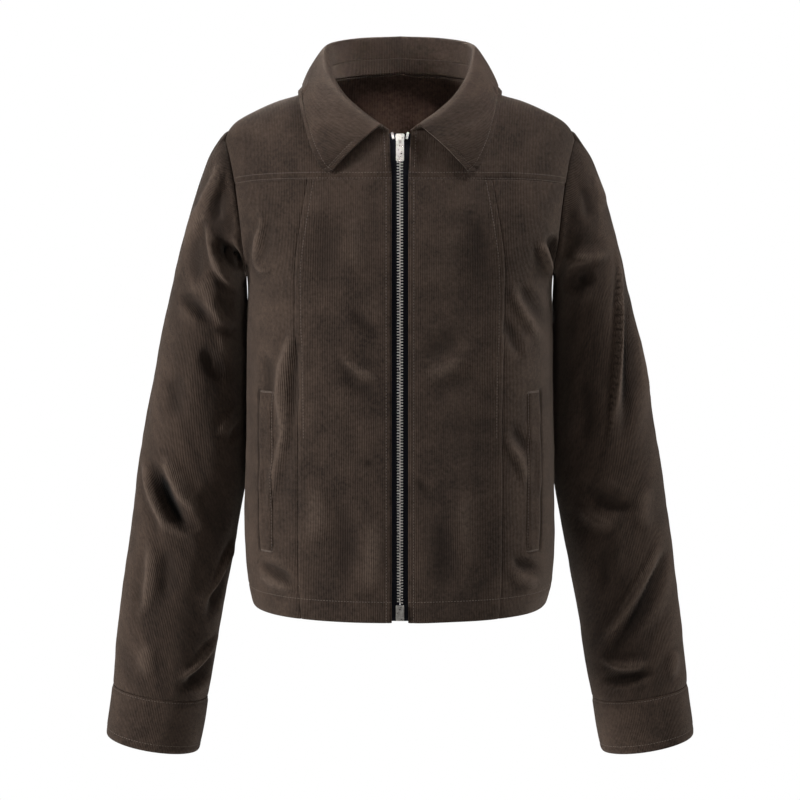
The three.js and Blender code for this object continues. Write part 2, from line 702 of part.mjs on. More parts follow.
// The pull hangs from its bar, which lies along X at the origin of the pull's own frame.
function pullGeometry() {
  const { length, halfWidth, wall, corner, barRadius, window, hole, holeUp } = pull;
  const inner = bridge.halfWidth + 0.45;
  const opening = new THREE.Path([[-inner, -barRadius], [inner, -barRadius], [inner, -window],
    [-inner, -window]].map(([x, y]) => new THREE.Vector2(x, y)));
  const eye = new THREE.Path(steps(10).slice(1).map((t) => t * Math.PI * 2)
    .map((a) => new THREE.Vector2(hole * Math.cos(a), holeUp - length + hole * Math.sin(a))));
  const round = (x, from) => steps(4).map((t) => from + t * Math.PI / 2)
    .map((a) => [x + corner * Math.cos(a), corner - length + corner * Math.sin(a)]);
  const left = round(corner - halfWidth, Math.PI);
  const right = round(halfWidth - corner, Math.PI * 1.5);
  return plate([[-halfWidth, barRadius], ...left, ...right, [halfWidth, barRadius]],
    -wall / 2, wall / 2, [opening, eye]);
}

function zipHardware() {
  const pieces = [];
  const top = frontFrame(slider.topZ);
  top.add(mesh('zip-slider', sliderGeometry(), nickel));
  const tab = mesh('zip-pull', pullGeometry(), nickel);
  tab.position.set(0, bridge.lowY + bridge.bar + 1, slider.front + 1.4);
  top.add(tab);
  for (const [name, side] of [['right', 1], ['left', -1]]) {
    const { width, height, wall, lean, back: behind } = stop;
    const piece = mesh(`zip-stop-${name}`, plate([[-width / 2, 0], [width / 2, 0], [width / 2, height],
      [-width / 2, height]], behind, behind + wall), nickel);
    piece.position.set(side * stop.middleX, stop.lowY, 0);
    piece.rotation.z = -side * lean;
    top.add(piece);
  }
  pieces.push(top);
  const low = frontFrame(box.topZ);
  low.add(mesh('zip-box', plate([[-box.halfWidth, -box.height], [box.halfWidth, -box.height],
    [box.halfWidth, 0], [-box.halfWidth, 0]], chain.back, box.front), nickel));
  pieces.push(low);
  return pieces;
}

const jacket = new THREE.Group();
jacket.add(
  ...bothSides('front-yoke', ...frontYoke(), corduroy),
  ...bothSides('centre-front', ...centreFront(), corduroy),
  ...bothSides('side-front', ...sideFront(), corduroy),
  ...bothSides('pocket-welt', ...pocketWelt(), corduroy),
  mesh('back', wallGeometry(...back()), corduroy),
  mesh('collar-stand', wallGeometry(...collarStand()), corduroy),
  mesh('collar', wallGeometry(...collarFall()), corduroy),
  ...bothSides('sleeve', ...sleeve(), corduroy, true),
  ...bothSides('cuff', ...cuff(), corduroy, true),
  ...bothSides('zip-tape', ...zipTape(), tapeCloth),
  mesh('zip-chain', wallGeometry(...zipChain()), nickel),
  ...zipHardware(),
);

export default jacket;
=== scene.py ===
import math

import bmesh
import bpy
import numpy as np
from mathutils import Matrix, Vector


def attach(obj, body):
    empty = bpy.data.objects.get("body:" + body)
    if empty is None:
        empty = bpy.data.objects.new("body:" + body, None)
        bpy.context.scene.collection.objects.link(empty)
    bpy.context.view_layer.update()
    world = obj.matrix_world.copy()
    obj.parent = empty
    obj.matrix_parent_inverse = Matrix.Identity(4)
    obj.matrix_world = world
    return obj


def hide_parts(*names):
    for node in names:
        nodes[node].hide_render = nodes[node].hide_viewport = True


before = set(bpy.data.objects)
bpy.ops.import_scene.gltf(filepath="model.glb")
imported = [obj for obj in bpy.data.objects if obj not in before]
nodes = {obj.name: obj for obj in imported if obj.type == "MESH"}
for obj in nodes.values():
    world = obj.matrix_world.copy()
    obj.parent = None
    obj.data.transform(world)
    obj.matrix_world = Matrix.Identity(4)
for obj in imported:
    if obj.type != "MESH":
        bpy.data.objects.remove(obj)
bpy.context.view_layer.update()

mm = 0.001
pitch = 2.6          # spacing of the cloth's mesh
clothWall = 1.8
seamGap = 0.03
sideY = 6
quarter = math.pi / 2

# ---- form of the body ----

body = dict(hemZ=-550, underarmZ=-205, shoulderTipZ=-54, shoulderRound=140, roundPower=2.2, armholeCut=0.075)
yoke = dict(meet=7 / 12, centreZ=-103)
neck = dict(halfWidth=70, sideZ=-2, frontZ=-56, backZ=6, frontHalf=11)
frontEdgeX = 8.3

# z, half width, front depth, back depth, squareness
bodyRings = np.array([
    (-560, 154, 124, 115, 2.35), (-550, 155.5, 126, 116, 2.35), (-525, 160.5, 127, 117, 2.4),
    (-465, 163.6, 128, 115, 2.45), (-337, 160.6, 129, 109, 2.4), (-250, 159.5, 127, 110, 2.35),
    (-205, 160, 125, 111, 2.35), (-170, 172, 123, 110, 2.35), (-136, 179, 118, 108, 2.35),
    (-100, 183.5, 110, 106, 2.35), (-54, 186, 105, 106, 2.35), (30, 186, 104, 108, 2.35),
])
# x, z of the shoulder seam
shoulderLine = np.array([
    (0, 22), (40, 13), (70, -2), (102, -17), (127, -24.5), (149, -34), (169, -45), (178, -54), (186, -64),
])
# z, x of the seam beside the centre front
princessSeam = np.array([
    (-560, 100.5), (-505, 103.5), (-414, 103.5), (-306, 103.8), (-241, 105.6), (-186, 105.2),
    (-140, 98.8), (-103, 92.6),
])


def mix(a, b, t):
    return a + (b - a) * t


def ease(x, low, high):
    t = np.clip((x - low) / (high - low), 0, 1)
    return t * t * (3 - 2 * t)


# Smooth value of a table's column at a key in its first column.
def rowValue(table, key, column=1):
    keys, values = table[:, 0], table[:, column]
    slopes = np.empty(len(keys))
    slopes[1:-1] = (values[2:] - values[:-2]) / (keys[2:] - keys[:-2])
    slopes[0] = (values[1] - values[0]) / (keys[1] - keys[0])
    slopes[-1] = (values[-1] - values[-2]) / (keys[-1] - keys[-2])
    i = np.clip(np.searchsorted(keys, key) - 1, 0, len(keys) - 2)
    span = keys[i + 1] - keys[i]
    t = np.clip((key - keys[i]) / span, 0, 1)
    return (values[i] * (2 * t**3 - 3 * t**2 + 1) + slopes[i] * span * (t**3 - 2 * t**2 + t)
            + values[i + 1] * (3 * t**2 - 2 * t**3) + slopes[i + 1] * span * (t**3 - t**2))


def bodyPoint(face, theta, z):
    power = 2 / rowValue(bodyRings, z, 4)
    swing = np.minimum(np.abs(theta), quarter)
    x = rowValue(bodyRings, z, 1) * np.sin(swing) ** power
    depth = rowValue(bodyRings, z, 2 if face < 0 else 3) * np.maximum(np.cos(swing), 0) ** power
    below = np.clip((rowValue(shoulderLine, x) - z) / body["shoulderRound"], 0, 1)
    rounded = (1 - (1 - below) ** body["roundPower"]) ** (1 / body["roundPower"])
    y = sideY + face * (depth * rounded + seamGap)
    return np.stack(np.broadcast_arrays(np.sign(theta) * x, y, z), -1)


def thetaAt(x, z):
    part = np.minimum(np.abs(x) / rowValue(bodyRings, z, 1), 1)
    return np.sign(x) * np.arcsin(part ** (rowValue(bodyRings, z, 4) / 2))


def place(x, z):
    x, z = np.broadcast_arrays(np.asarray(x, float), np.asarray(z, float))
    return np.stack([thetaAt(x, z), z], -1)


def pair(theta, z):
    return np.stack(np.broadcast_arrays(np.asarray(theta, float), np.asarray(z, float)), -1)


def shoulderX(z):
    x = np.linspace(0, 186, 2000)
    return np.interp(-z, -rowValue(shoulderLine, x), x)


# The armhole from the underarm, 0, to the shoulder tip, 1.
def armhole(t):
    turn = np.pi * np.asarray(t, float)
    middle = (body["underarmZ"] + body["shoulderTipZ"]) / 2
    z = middle - (body["shoulderTipZ"] - body["underarmZ"]) / 2 * np.cos(turn)
    cut = 1 - body["armholeCut"] * np.maximum(np.sin(turn), 0) ** 1.7
    # Near the tip it keeps inside the shoulder line, so that it rounds over the shoulder.
    inside = shoulderX(mix(body["shoulderTipZ"], z, 0.4))
    return place(np.minimum(rowValue(bodyRings, z, 1) * cut, inside), z)


def neckFront(w):
    turn = mix(math.asin(neck["frontHalf"] / neck["halfWidth"]), quarter, w)
    return (neck["halfWidth"] * np.sin(turn),
            mix(neck["sideZ"], neck["frontZ"], np.maximum(np.cos(turn), 0) ** 1.3))


def neckBack(w):
    x = neck["halfWidth"] * np.sin(w * quarter)
    drop = shoulderLine[0, 1] - neck["backZ"]
    return x, rowValue(shoulderLine, x) - drop * np.maximum(np.cos(w * quarter), 0) ** body["roundPower"]


def shoulderAt(w):
    x = mix(neck["halfWidth"], shoulderX(body["shoulderTipZ"]), w)
    return x, rowValue(shoulderLine, x) - 0.001


yokeEnd = bodyPoint(-1, *armhole(yoke["meet"]))


def yokeSeam(x):
    across = np.clip((x - frontEdgeX) / (yokeEnd[0] - frontEdgeX), 0, 1)
    return mix(yoke["centreZ"], yokeEnd[2], 0.12 * across + 0.88 * across**6)


# Places between four edges.
def patch(bottom, top, start, end, u, v):
    rows, columns = v[:, None, None], u[None, :, None]
    ruled = mix(bottom(u)[None], top(u)[None], rows) + mix(start(v)[:, None], end(v)[:, None], columns)
    ends = [f(np.array([t]))[0] for f in (bottom, top) for t in (0.0, 1.0)]
    return ruled - mix(mix(ends[0], ends[1], columns), mix(ends[2], ends[3], columns), rows)


# Steps from 0 to 1 along a length, closer together at both ends.
def steps(length, spacing=pitch):
    close = np.array([0, 0.35, 0.8, 1.4, 2.2, 3.4])
    middle = np.linspace(5, length - 5, max(int((length - 10) / spacing), 2))
    return np.concatenate([close, middle, length - close[::-1]]) / length


# Levels from the hem up to the underarm, closer together only at the hem.
def lowLevels():
    low = steps(body["underarmZ"] - body["hemZ"])[:-5]
    return mix(body["hemZ"], body["underarmZ"], low / low[-1])


# Steps from the underarm up, closer together only at the top.
def highSteps():
    high = steps(yoke["centreZ"] - body["underarmZ"])[5:]
    return (high - high[0]) / (1 - high[0])


def centreFrontPlaces():
    u = steps(94)
    rows = []
    for z in lowLevels():
        rows.append(place(mix(frontEdgeX, rowValue(princessSeam, z) - seamGap / 2, u), np.full(len(u), z)))
    for r in highSteps()[1:]:
        guess = mix(frontEdgeX, rowValue(princessSeam, yoke["centreZ"]), u)
        z = mix(body["underarmZ"], yokeSeam(guess) - seamGap / 2, r)
        rows.append(place(mix(frontEdgeX, rowValue(princessSeam, z) - seamGap / 2, u), z))
    return np.array(rows)


def sideFrontPlaces():
    half = seamGap / 2
    u = steps(132, 1.7)
    v = highSteps()

    def princess(z):
        return place(rowValue(princessSeam, z) + half, z)

    def line(u, z):
        return pair(mix(princess(z)[..., 0], quarter, u), z)

    def end(v):
        spot = armhole(v * yoke["meet"])
        return pair(spot[:, 0], spot[:, 1] - v * half)

    def top(u):
        x = mix(rowValue(princessSeam, yoke["centreZ"]) + half, yokeEnd[0], u)
        return np.where((u == 1)[:, None], end(np.array([1.0])), place(x, yokeSeam(x) - half))

    def start(v):
        rise = (armhole(v * yoke["meet"])[:, 1] - body["underarmZ"]) / (yokeEnd[2] - body["underarmZ"])
        return princess(mix(body["underarmZ"], top(np.zeros(1))[0, 1], rise))

    def bottom(u):
        return line(u, np.full(len(u), float(body["underarmZ"])))

    low = np.array([line(u, np.full(len(u), z)) for z in lowLevels()])
    return np.concatenate([low, patch(bottom, top, start, end, u, v[1:])])


def topEdge(face, u):
    on = np.clip((u - 0.5) * 2, 0, 1)
    shoulder = place(*shoulderAt(on))
    w = np.clip(u * 2, 0, 1)
    if face > 0:
        round_ = place(*neckBack(w))
    else:
        round_ = place(*neckFront(neckSeam(mix(1, collar["backPart"], w))))
    return np.where((u > 0.5)[:, None], shoulder, round_)


def crowd(t):
    return 1 - (1 - t) ** 1.8


def uncrowd(t):
    return 1 - (1 - t) ** (1 / 1.8)


def frontYokePlaces():
    half = seamGap / 2

    def end(v):
        spot = armhole(mix(yoke["meet"], 1, uncrowd(v)))
        return pair(spot[:, 0], spot[:, 1] + half * (v == 0))

    def bottom(u):
        x = mix(frontEdgeX, yokeEnd[0], u)
        return np.where((u == 1)[:, None], end(np.zeros(1)), place(x, yokeSeam(x) + half))

    def start(v):
        x, z = neckFront(0.0)
        return place(mix(frontEdgeX, x, v), mix(yoke["centreZ"] + half, z, v))

    return patch(bottom, lambda u: topEdge(-1, u), start, end, steps(176), crowd(steps(100)))


def backPlaces():
    u = steps(470)
    high = steps(215)[5:]
    v = crowd(high - high[0])
    v = v / v[-1]
    flip = np.array([-1, 1])

    def line(w, z):
        return pair((w * 2 - 1) * quarter, np.full(len(w), z))

    def end(v):
        return np.where((v == 1)[:, None], topEdge(1, np.ones(1)), armhole(uncrowd(v)))

    def top(w):
        edge = topEdge(1, np.abs(w * 2 - 1))
        return np.where((w < 0.5)[:, None], edge * flip, edge)

    def bottom(w):
        return line(w, float(body["underarmZ"]))

    low = np.array([line(u, z) for z in lowLevels()])
    return np.concatenate([low, patch(bottom, top, lambda v: end(v) * flip, end, u, v[1:])])


# ---- form of the sleeves ----

# outer x, outer z, inner x, inner z, y of the middle, half depth
sleeveRings = np.array([
    (200, -85, 161, -211, 10, 57), (218.8, -138, 160.8, -226, 17, 59), (233.8, -192, 160.7, -247, 25, 60),
    (248, -250, 160.6, -284, 32, 59), (259.5, -305, 160.8, -330, 37, 57), (268.8, -353, 161.8, -375, 40, 55),
    (277.4, -399, 164, -420, 41, 53), (284.4, -444, 171.6, -463, 40, 52), (291.2, -492, 180, -510, 38, 51),
    (298.4, -549, 190.6, -567, 35, 50), (304.8, -602.6, 199.5, -620.6, 32, 49),
    (308.6, -644.8, 207, -660.2, 29, 47),
])
cuffRings = np.array([
    (309.2, -645, 206.6, -660.4, 29, 47.4), (313, -672, 210.8, -689, 28.5, 47.2),
    (316.6, -700, 216.5, -718, 28, 46.4),
])


# A ring of points; turn 0 is the outer side and half a turn the underarm.
def ringPoints(ring, turn):
    outerX, outerZ, innerX, innerZ, middleY, halfDepth = ring
    x = (outerX + innerX) / 2 + (outerX - innerX) / 2 * np.cos(turn)
    z = (outerZ + innerZ) / 2 + (outerZ - innerZ) / 2 * np.cos(turn)
    return np.stack([x, middleY + halfDepth * np.sin(turn), z], -1)


# The same number of rows, smoothly through rings, a spacing apart and closer at the ends.
def throughRings(rings, length, spacing=pitch):
    middles = rings.mean(1)
    run = np.concatenate([[0], np.cumsum(np.linalg.norm(np.diff(middles, axis=0), axis=1))])
    at = steps(length, spacing) * run[-1]
    table = np.column_stack([run, rings.reshape(len(rings), -1)])
    columns = [rowValue(table, at, c + 1) for c in range(table.shape[1] - 1)]
    return np.stack(columns, -1).reshape(len(at), *rings.shape[1:])


def sleeveBase():
    turn = np.linspace(0, 2 * np.pi, 141)
    along = np.abs(1 - turn / np.pi)
    spot = armhole(along)
    onFront = (np.sin(turn) < 0)[:, None]
    first = np.where(onFront, bodyPoint(-1, *spot.T), bodyPoint(1, *spot.T))
    low = np.maximum(-np.cos(turn), 0) ** 3
    high = np.maximum(np.cos(turn), 0) ** 3
    first = first + np.stack([np.full(len(turn), seamGap / 2), 0 * low, seamGap * low - 0.4 * high], -1)
    second = first + np.stack([4.4 * (1 - 0.75 * low), 0 * low, -low - 4 * high], -1)
    rings = np.array([first, second] + [ringPoints(ring, turn) for ring in sleeveRings])
    return throughRings(rings, 560)


def cuffBase():
    turn = np.linspace(0, 2 * np.pi, 141)
    return throughRings(np.array([ringPoints(ring, turn) for ring in cuffRings]), 58, 2.2)


# ---- form of the collar ----

collar = dict(wall=2.6, standPart=0.43, backPart=0.43, roll=3.4, lift=3.6, bulge=3)
# s from the middle of the back to the front end, x, y, z of the roll, how far round its neck seam lies
collarRoll = np.array([
    (0, 0, 68, 43.5, 1), (0.17, 42, 59, 41, 1), (0.315, 69, 34, 36, 1), (0.43, 75, 6, 29, 1),
    (0.54, 73, -18, 15, 0.925), (0.645, 68, -40, 0, 0.822), (0.78, 55, -66, -19.4, 0.596),
    (0.905, 36, -84, -37, 0.313), (1, 18.5, -95.5, -49.5, 0),
])
collarEdge = np.array([
    (0, 0, 94, -14), (0.17, 56, 88, -16), (0.315, 92, 58, -17), (0.43, 102, 8, -14), (0.54, 101.5, -28, -24),
    (0.645, 98, -54, -40), (0.78, 90.5, -80, -66), (0.905, 82, -94, -86), (1, 73, -99, -101),
])


def neckSeam(s):
    return np.clip(rowValue(collarRoll, s, 4), 0, 1)


def tablePoints(table, s):
    x, y, z = [rowValue(table, np.abs(s), column) for column in (1, 2, 3)]
    return np.stack([np.sign(s) * x, y, z], -1)


def neckPoints(s):
    size = np.abs(s)
    onBack = (size < collar["backPart"])[:, None]
    backSpot = place(*neckBack(np.clip(size / collar["backPart"], 0, 1)))
    frontSpot = place(*neckFront(neckSeam(size)))
    points = np.where(onBack, bodyPoint(1, backSpot[:, 0], backSpot[:, 1]),
                      bodyPoint(-1, frontSpot[:, 0], frontSpot[:, 1]))
    return points * np.stack([np.where(s < 0, -1, 1), np.ones(len(s)), np.ones(len(s))], -1)


def neckOut(s):
    ahead, behind = np.minimum(s + 0.02, 1), np.maximum(s - 0.02, -1)
    along = tablePoints(collarRoll, ahead) - tablePoints(collarRoll, behind)
    out = np.stack([-along[:, 1], along[:, 0], np.zeros(len(s))], -1)
    return out / np.linalg.norm(out, axis=1, keepdims=True)


# How deep each point lies outside the body, about, in millimetres of depth.
def outsideDepth(p):
    x, y, z = p[:, 0], p[:, 1], p[:, 2]
    square = rowValue(bodyRings, z, 4)
    part = np.minimum(np.abs(x) / rowValue(bodyRings, z, 1), 1)
    depth = np.where(y < sideY, rowValue(bodyRings, z, 2), rowValue(bodyRings, z, 3))
    depth = depth * (1 - part**square) ** (1 / square)
    below = (rowValue(shoulderLine, np.abs(x)) - z) / body["shoulderRound"]
    size = np.minimum(np.abs(below), 1)
    power = body["roundPower"]
    return np.abs(y - sideY) - depth * np.sign(below) * (1 - (1 - size) ** power) ** (1 / power)


def clearOfBody(p, clearance):
    for _ in range(4):
        here = outsideDepth(p)
        slope = np.stack([outsideDepth(p + d) - outsideDepth(p - d) for d in np.eye(3) * 0.2], -1) / 0.4
        size = np.linalg.norm(slope, axis=1)
        short = np.maximum(clearance - here / size, 0)
        p = p + slope / size[:, None] * short[:, None]
    return p


def collarBase():
    s = np.concatenate([-steps(300)[::-1], steps(300)[1:]])
    roll, edge, out = tablePoints(collarRoll, s), tablePoints(collarEdge, s), neckOut(s)
    start = mix(neckPoints(s), roll, collar["standPart"])
    bow = out + np.array([0, 0, 0.6])
    bow = bow / np.linalg.norm(bow, axis=1, keepdims=True)
    rows = [start, mix(start, roll, 0.6), roll + np.array([0, 0, -1.4]), roll + out * collar["roll"] / 2]
    for w in (0.08, 0.3, 0.55, 0.8, 1):
        p = mix(roll + out * collar["roll"], edge, w) + bow * collar["bulge"] * math.sin(math.pi * w)
        rows.append(p if w < 0.2 else clearOfBody(p, collar["lift"]))
    return throughRings(np.array(rows), 110, 2.2)


def standBase():
    s = np.linspace(-1, 1, 150)
    low = neckPoints(s) - neckOut(s) * clothWall / 2
    rise = (tablePoints(collarRoll, s) - neckOut(s) * 0.5 - low) * collar["standPart"]
    length = np.linalg.norm(rise, axis=1, keepdims=True)
    rise = rise / length
    rows = np.linspace(0, 1, 12)[:, None, None]
    return low[None] + rise[None] * mix(0.5, length[None] - 0.3, rows)


# ---- folds, seams and stitches ----

# Folds are soft lines: height (troughs are below zero), width, lean to one side, then points as x and z.
foldsFront = [
    (1.7, 4.5, 0.2, [(-143, -128), (-140, -148), (-147, -172), (-149, -189), (-139, -197), (-118, -189)]),
    (-1.6, 6, 0, [(-152, -150), (-155, -180), (-146, -206)]),
    (2.3, 7, 0.3, [(-106, -244), (-114, -278), (-121, -317), (-119, -348), (-125, -388)]),
    (-1.8, 6, -0.2, [(-98, -250), (-106, -290), (-108, -335), (-112, -372)]),
    (1.6, 5, 0.3, [(-112, -344), (-121, -372), (-128, -399), (-135, -446)]),
    (-1.5, 7, 0, [(-138, -272), (-133, -305), (-136, -340)]),
    (1.6, 6, 0.3, [(-62, -270), (-51, -286), (-35, -298), (-14, -301)]),
    (-1.5, 8, 0.2, [(-52, -226), (-36, -246), (-14, -262)]),
    (-1.2, 8, 0, [(-58, -292), (-40, -310), (-15, -317)]),
    (-1.3, 4, 0, [(-37, -384), (-30, -387), (-23, -384)]),
    (-2.4, 5, 0.3, [(-148, -496), (-130, -503), (-108, -511)]),
    (1.5, 6, 0, [(-150, -508), (-128, -516), (-100, -520)]),
    (1.2, 14, 0, [(-90, -400), (-84, -440), (-92, -480)]),
    (-1.0, 14, 0, [(-58, -420), (-52, -470), (-60, -512)]),
    (1.0, 12, 0, [(-30, -440), (-28, -490), (-36, -530)]),
    (-1.1, 16, 0, [(-80, -130), (-74, -180), (-82, -228)]),
    (0.9, 12, 0, [(-48, -118), (-44, -160), (-50, -205)]),
    (2.6, 6, 0.3, [(136, -165), (149, -186), (156, -208)]),
    (-3.2, 7, 0.2, [(150, -158), (158, -180), (161, -202)]),
    (1.7, 6, 0.2, [(108, -205), (119, -228), (134, -254), (150, -272)]),
    (-1.7, 7, 0, [(118, -205), (132, -230), (150, -250)]),
    (-1.4, 6, 0, [(104, -236), (112, -262), (126, -290)]),
    (1.4, 5, 0.2, [(102, -358), (112, -374), (122, -392), (128, -420)]),
    (-1.4, 6, 0, [(110, -350), (121, -366), (131, -384)]),
    (-1.0, 12, 0, [(60, -250), (44, -268), (22, -280)]),
    (1.1, 10, 0, [(66, -276), (46, -292), (20, -300)]),
    (-1.1, 6, 0, [(14, -402), (24, -410), (34, -420)]),
    (1.0, 13, 0, [(72, -400), (66, -450), (74, -505)]),
    (-1.0, 13, 0, [(40, -430), (46, -480), (38, -528)]),
    (-1.0, 14, 0, [(70, -130), (78, -170), (72, -215)]),
    (-1.8, 6, 0, [(112, -486), (128, -498), (146, -502)]),
    (1.4, 7, 0, [(110, -500), (128, -512), (148, -518)]),
]
foldsBack = [
    (-2.4, 12, 0.2, [(-150, -150), (-112, -196), (-76, -226)]),
    (2.0, 12, 0, [(-158, -178), (-120, -224), (-84, -256)]),
    (-2.2, 11, 0.2, [(152, -142), (116, -190), (84, -228)]),
    (2.0, 12, 0, [(156, -174), (122, -218), (90, -262)]),
    (-1.5, 16, 0, [(-44, -60), (-52, -120), (-40, -190)]),
    (1.4, 15, 0, [(38, -70), (46, -130), (36, -196)]),
    (-2.1, 9, 0.2, [(-148, -330), (-100, -344), (-52, -338)]),
    (1.8, 10, 0, [(-140, -352), (-96, -366), (-50, -360)]),
    (-2.0, 9, 0, [(146, -318), (104, -338), (58, -342)]),
    (1.6, 10, 0, [(150, -342), (100, -362), (48, -366)]),
    (-1.6, 10, 0, [(-30, -372), (6, -380), (44, -374)]),
    (-1.6, 14, 0, [(-96, -400), (-88, -460), (-98, -520)]),
    (1.6, 14, 0, [(-60, -410), (-56, -470), (-64, -528)]),
    (-1.4, 14, 0, [(8, -420), (2, -480), (10, -530)]),
    (1.6, 14, 0, [(70, -404), (78, -462), (70, -526)]),
    (-1.5, 12, 0, [(112, -410), (118, -470), (110, -524)]),
]
sleeveFoldsFront = {
    -1: [
        (-5.0, 7.5, 0.3, [(-192, -166), (-178, -180), (-164, -191), (-150, -198)]),
        (3.2, 6, 0.3, [(-201, -140), (-195, -165), (-188, -192), (-175, -211), (-160, -224)]),
        (3.0, 7, 0.3, [(-185, -82), (-192, -108), (-201, -130), (-215, -150), (-228, -182)]),
        (-2.6, 12, 0, [(-207, -158), (-209, -185), (-206, -214)]),
        (-2.4, 8, 0, [(-182, -112), (-188, -132), (-186, -152)]),
        (-3.4, 8, 0.3, [(-232, -222), (-218, -232), (-204, -243), (-188, -256)]),
        (2.2, 8, 0, [(-206, -226), (-192, -240), (-170, -262)]),
        (1.8, 9, 0, [(-190, -262), (-178, -277), (-160, -294)]),
        (-2.4, 9, 0, [(-206, -276), (-196, -296), (-180, -316)]),
        (-2.2, 5, 0.2, [(-158, -346), (-168, -362), (-182, -382)]),
        (1.6, 5, 0, [(-168, -340), (-178, -356), (-192, -374)]),
        (-5.0, 9.5, 0.3, [(-264, -398), (-254, -424), (-243, -446), (-226, -466), (-204, -472)]),
        (2.8, 6, 0.2, [(-273, -396), (-264, -428), (-251, -458), (-246, -482)]),
        (2.4, 7, 0.2, [(-250, -390), (-240, -416), (-228, -440), (-208, -452)]),
        (1.9, 7, 0.3, [(-266, -476), (-264, -512), (-268, -545), (-276, -572)]),
        (-1.6, 10, 0, [(-246, -486), (-244, -520), (-250, -556)]),
        (3.0, 4.5, 0.4, [(-174, -480), (-184, -508), (-196, -533), (-208, -552)]),
        (-3.8, 6.5, 0.2, [(-176, -500), (-186, -526), (-198, -550), (-206, -574)]),
        (2.6, 5, 0.3, [(-190, -588), (-204, -603), (-216, -620), (-236, -634)]),
        (-3.6, 7, 0.2, [(-194, -604), (-206, -620), (-222, -634), (-238, -642)]),
        (-1.5, 12, 0, [(-238, -300), (-236, -330), (-240, -362)]),
        (1.4, 11, 0, [(-262, -588), (-268, -612), (-262, -634)]),
    ],
    1: [
        (3.2, 5.5, 0.5, [(221, -158), (226, -196), (226, -240), (225, -296), (220, -356), (211, -402)]),
        (-3.2, 8, 0.2, [(233, -196), (237, -246), (238, -300), (236, -352), (230, -392)]),
        (2.0, 7, 0.2, [(166, -196), (182, -187), (206, -184), (222, -176)]),
        (-3.4, 10, 0, [(168, -214), (186, -208), (204, -204)]),
        (1.8, 6, 0.2, [(198, -98), (207, -118), (214, -136)]),
        (-2.0, 7, 0, [(184, -108), (192, -130), (194, -150)]),
        (2.2, 8, 0, [(250, -250), (262, -310), (268, -352)]),
        (-1.6, 9, 0, [(190, -300), (196, -350), (192, -392)]),
        (2.4, 6, 0.4, [(278, -474), (266, -502), (254, -524), (240, -548), (226, -570), (206, -600)]),
        (-3.8, 7, 0.2, [(288, -486), (274, -514), (262, -536), (248, -560), (232, -586), (214, -612)]),
        (1.9, 6, 0.2, [(208, -610), (226, -616), (246, -619), (268, -611)]),
        (-3.2, 6, 0.2, [(212, -634), (232, -632), (252, -627), (272, -624)]),
        (-2.4, 8, 0.2, [(190, -420), (206, -436), (228, -448), (252, -450)]),
        (2.0, 8, 0, [(186, -446), (206, -462), (230, -470)]),
        (1.5, 10, 0, [(262, -420), (256, -450), (262, -482)]),
        (1.6, 7, 0, [(292, -600), (290, -620), (284, -636)]),
        (-1.5, 9, 0, [(222, -480), (214, -510), (218, -540)]),
    ],
}
# On the back of the sleeves x is measured outwards on both.
sleeveFoldsBack = [
    (-3.6, 9, 0.3, [(176, -190), (196, -206), (222, -212)]),
    (2.6, 9, 0, [(178, -222), (204, -232), (232, -236)]),
    (-2.4, 9, 0, [(196, -120), (202, -150), (212, -176)]),
    (-3.2, 9, 0.2, [(176, -330), (206, -352), (246, -356)]),
    (2.4, 9, 0, [(178, -360), (210, -378), (252, -380)]),
    (-4.2, 9, 0.3, [(182, -392), (216, -408), (262, -402)]),
    (2.8, 9, 0, [(186, -420), (222, -434), (268, -428)]),
    (-3.0, 8, 0.2, [(196, -462), (226, -470), (262, -462)]),
    (-2.0, 12, 0, [(252, -500), (246, -540), (256, -580)]),
    (2.0, 12, 0, [(222, -510), (218, -550), (228, -590)]),
    (-2.8, 7, 0.2, [(214, -618), (240, -626), (272, -620)]),
    (2.0, 7, 0, [(214, -638), (244, -644), (276, -636)]),
]
pocket = dict(middleX=135.5, width=13, topZ=-318, bottomZ=-484)


# Height of folds over a surface seen along Y, with raised shoulders beside each.
def foldHeight(points, folds, strength=1.0, breadth=1.0):
    x, z = points[..., 0], points[..., 2]
    total = np.zeros(x.shape)
    for height, width, lean, line in folds:
        height, width = height * strength, width * breadth
        line = np.array(line, float)
        run = np.concatenate([[0], np.cumsum(np.linalg.norm(np.diff(line, axis=0), axis=1))])
        t = np.linspace(0, run[-1], 36)
        table = np.column_stack([run, line])
        path = np.stack([rowValue(table, t, 1), rowValue(table, t, 2)], -1)
        reach = width * 4
        near = ((x > path[:, 0].min() - reach) & (x < path[:, 0].max() + reach)
                & (z > path[:, 1].min() - reach) & (z < path[:, 1].max() + reach))
        if not near.any():
            continue
        offset = np.stack([x[near], z[near]], -1)[:, None] - path[None]
        nearest = (offset**2).sum(-1).argmin(1)
        offset = offset[np.arange(len(nearest)), nearest]
        direction = np.gradient(path, axis=0)
        direction = (direction / np.linalg.norm(direction, axis=1, keepdims=True))[nearest]
        side = direction[:, 0] * offset[:, 1] - direction[:, 1] * offset[:, 0]
        distance = np.linalg.norm(offset, axis=1)
        part = nearest / (len(t) - 1)
        wide = width * (1 + lean * np.sign(side)) * (0.75 + 0.5 * np.sin(np.pi * part))
        fade = ease(part, 0, 0.35) * (1 - ease(part, 0.62, 1))
        shape = np.exp(-((distance / wide) ** 2))
        shape -= 0.28 * np.exp(-(((distance - 2.1 * wide) / (1.1 * wide)) ** 2))
        total[near] += height * shape * fade
    return total


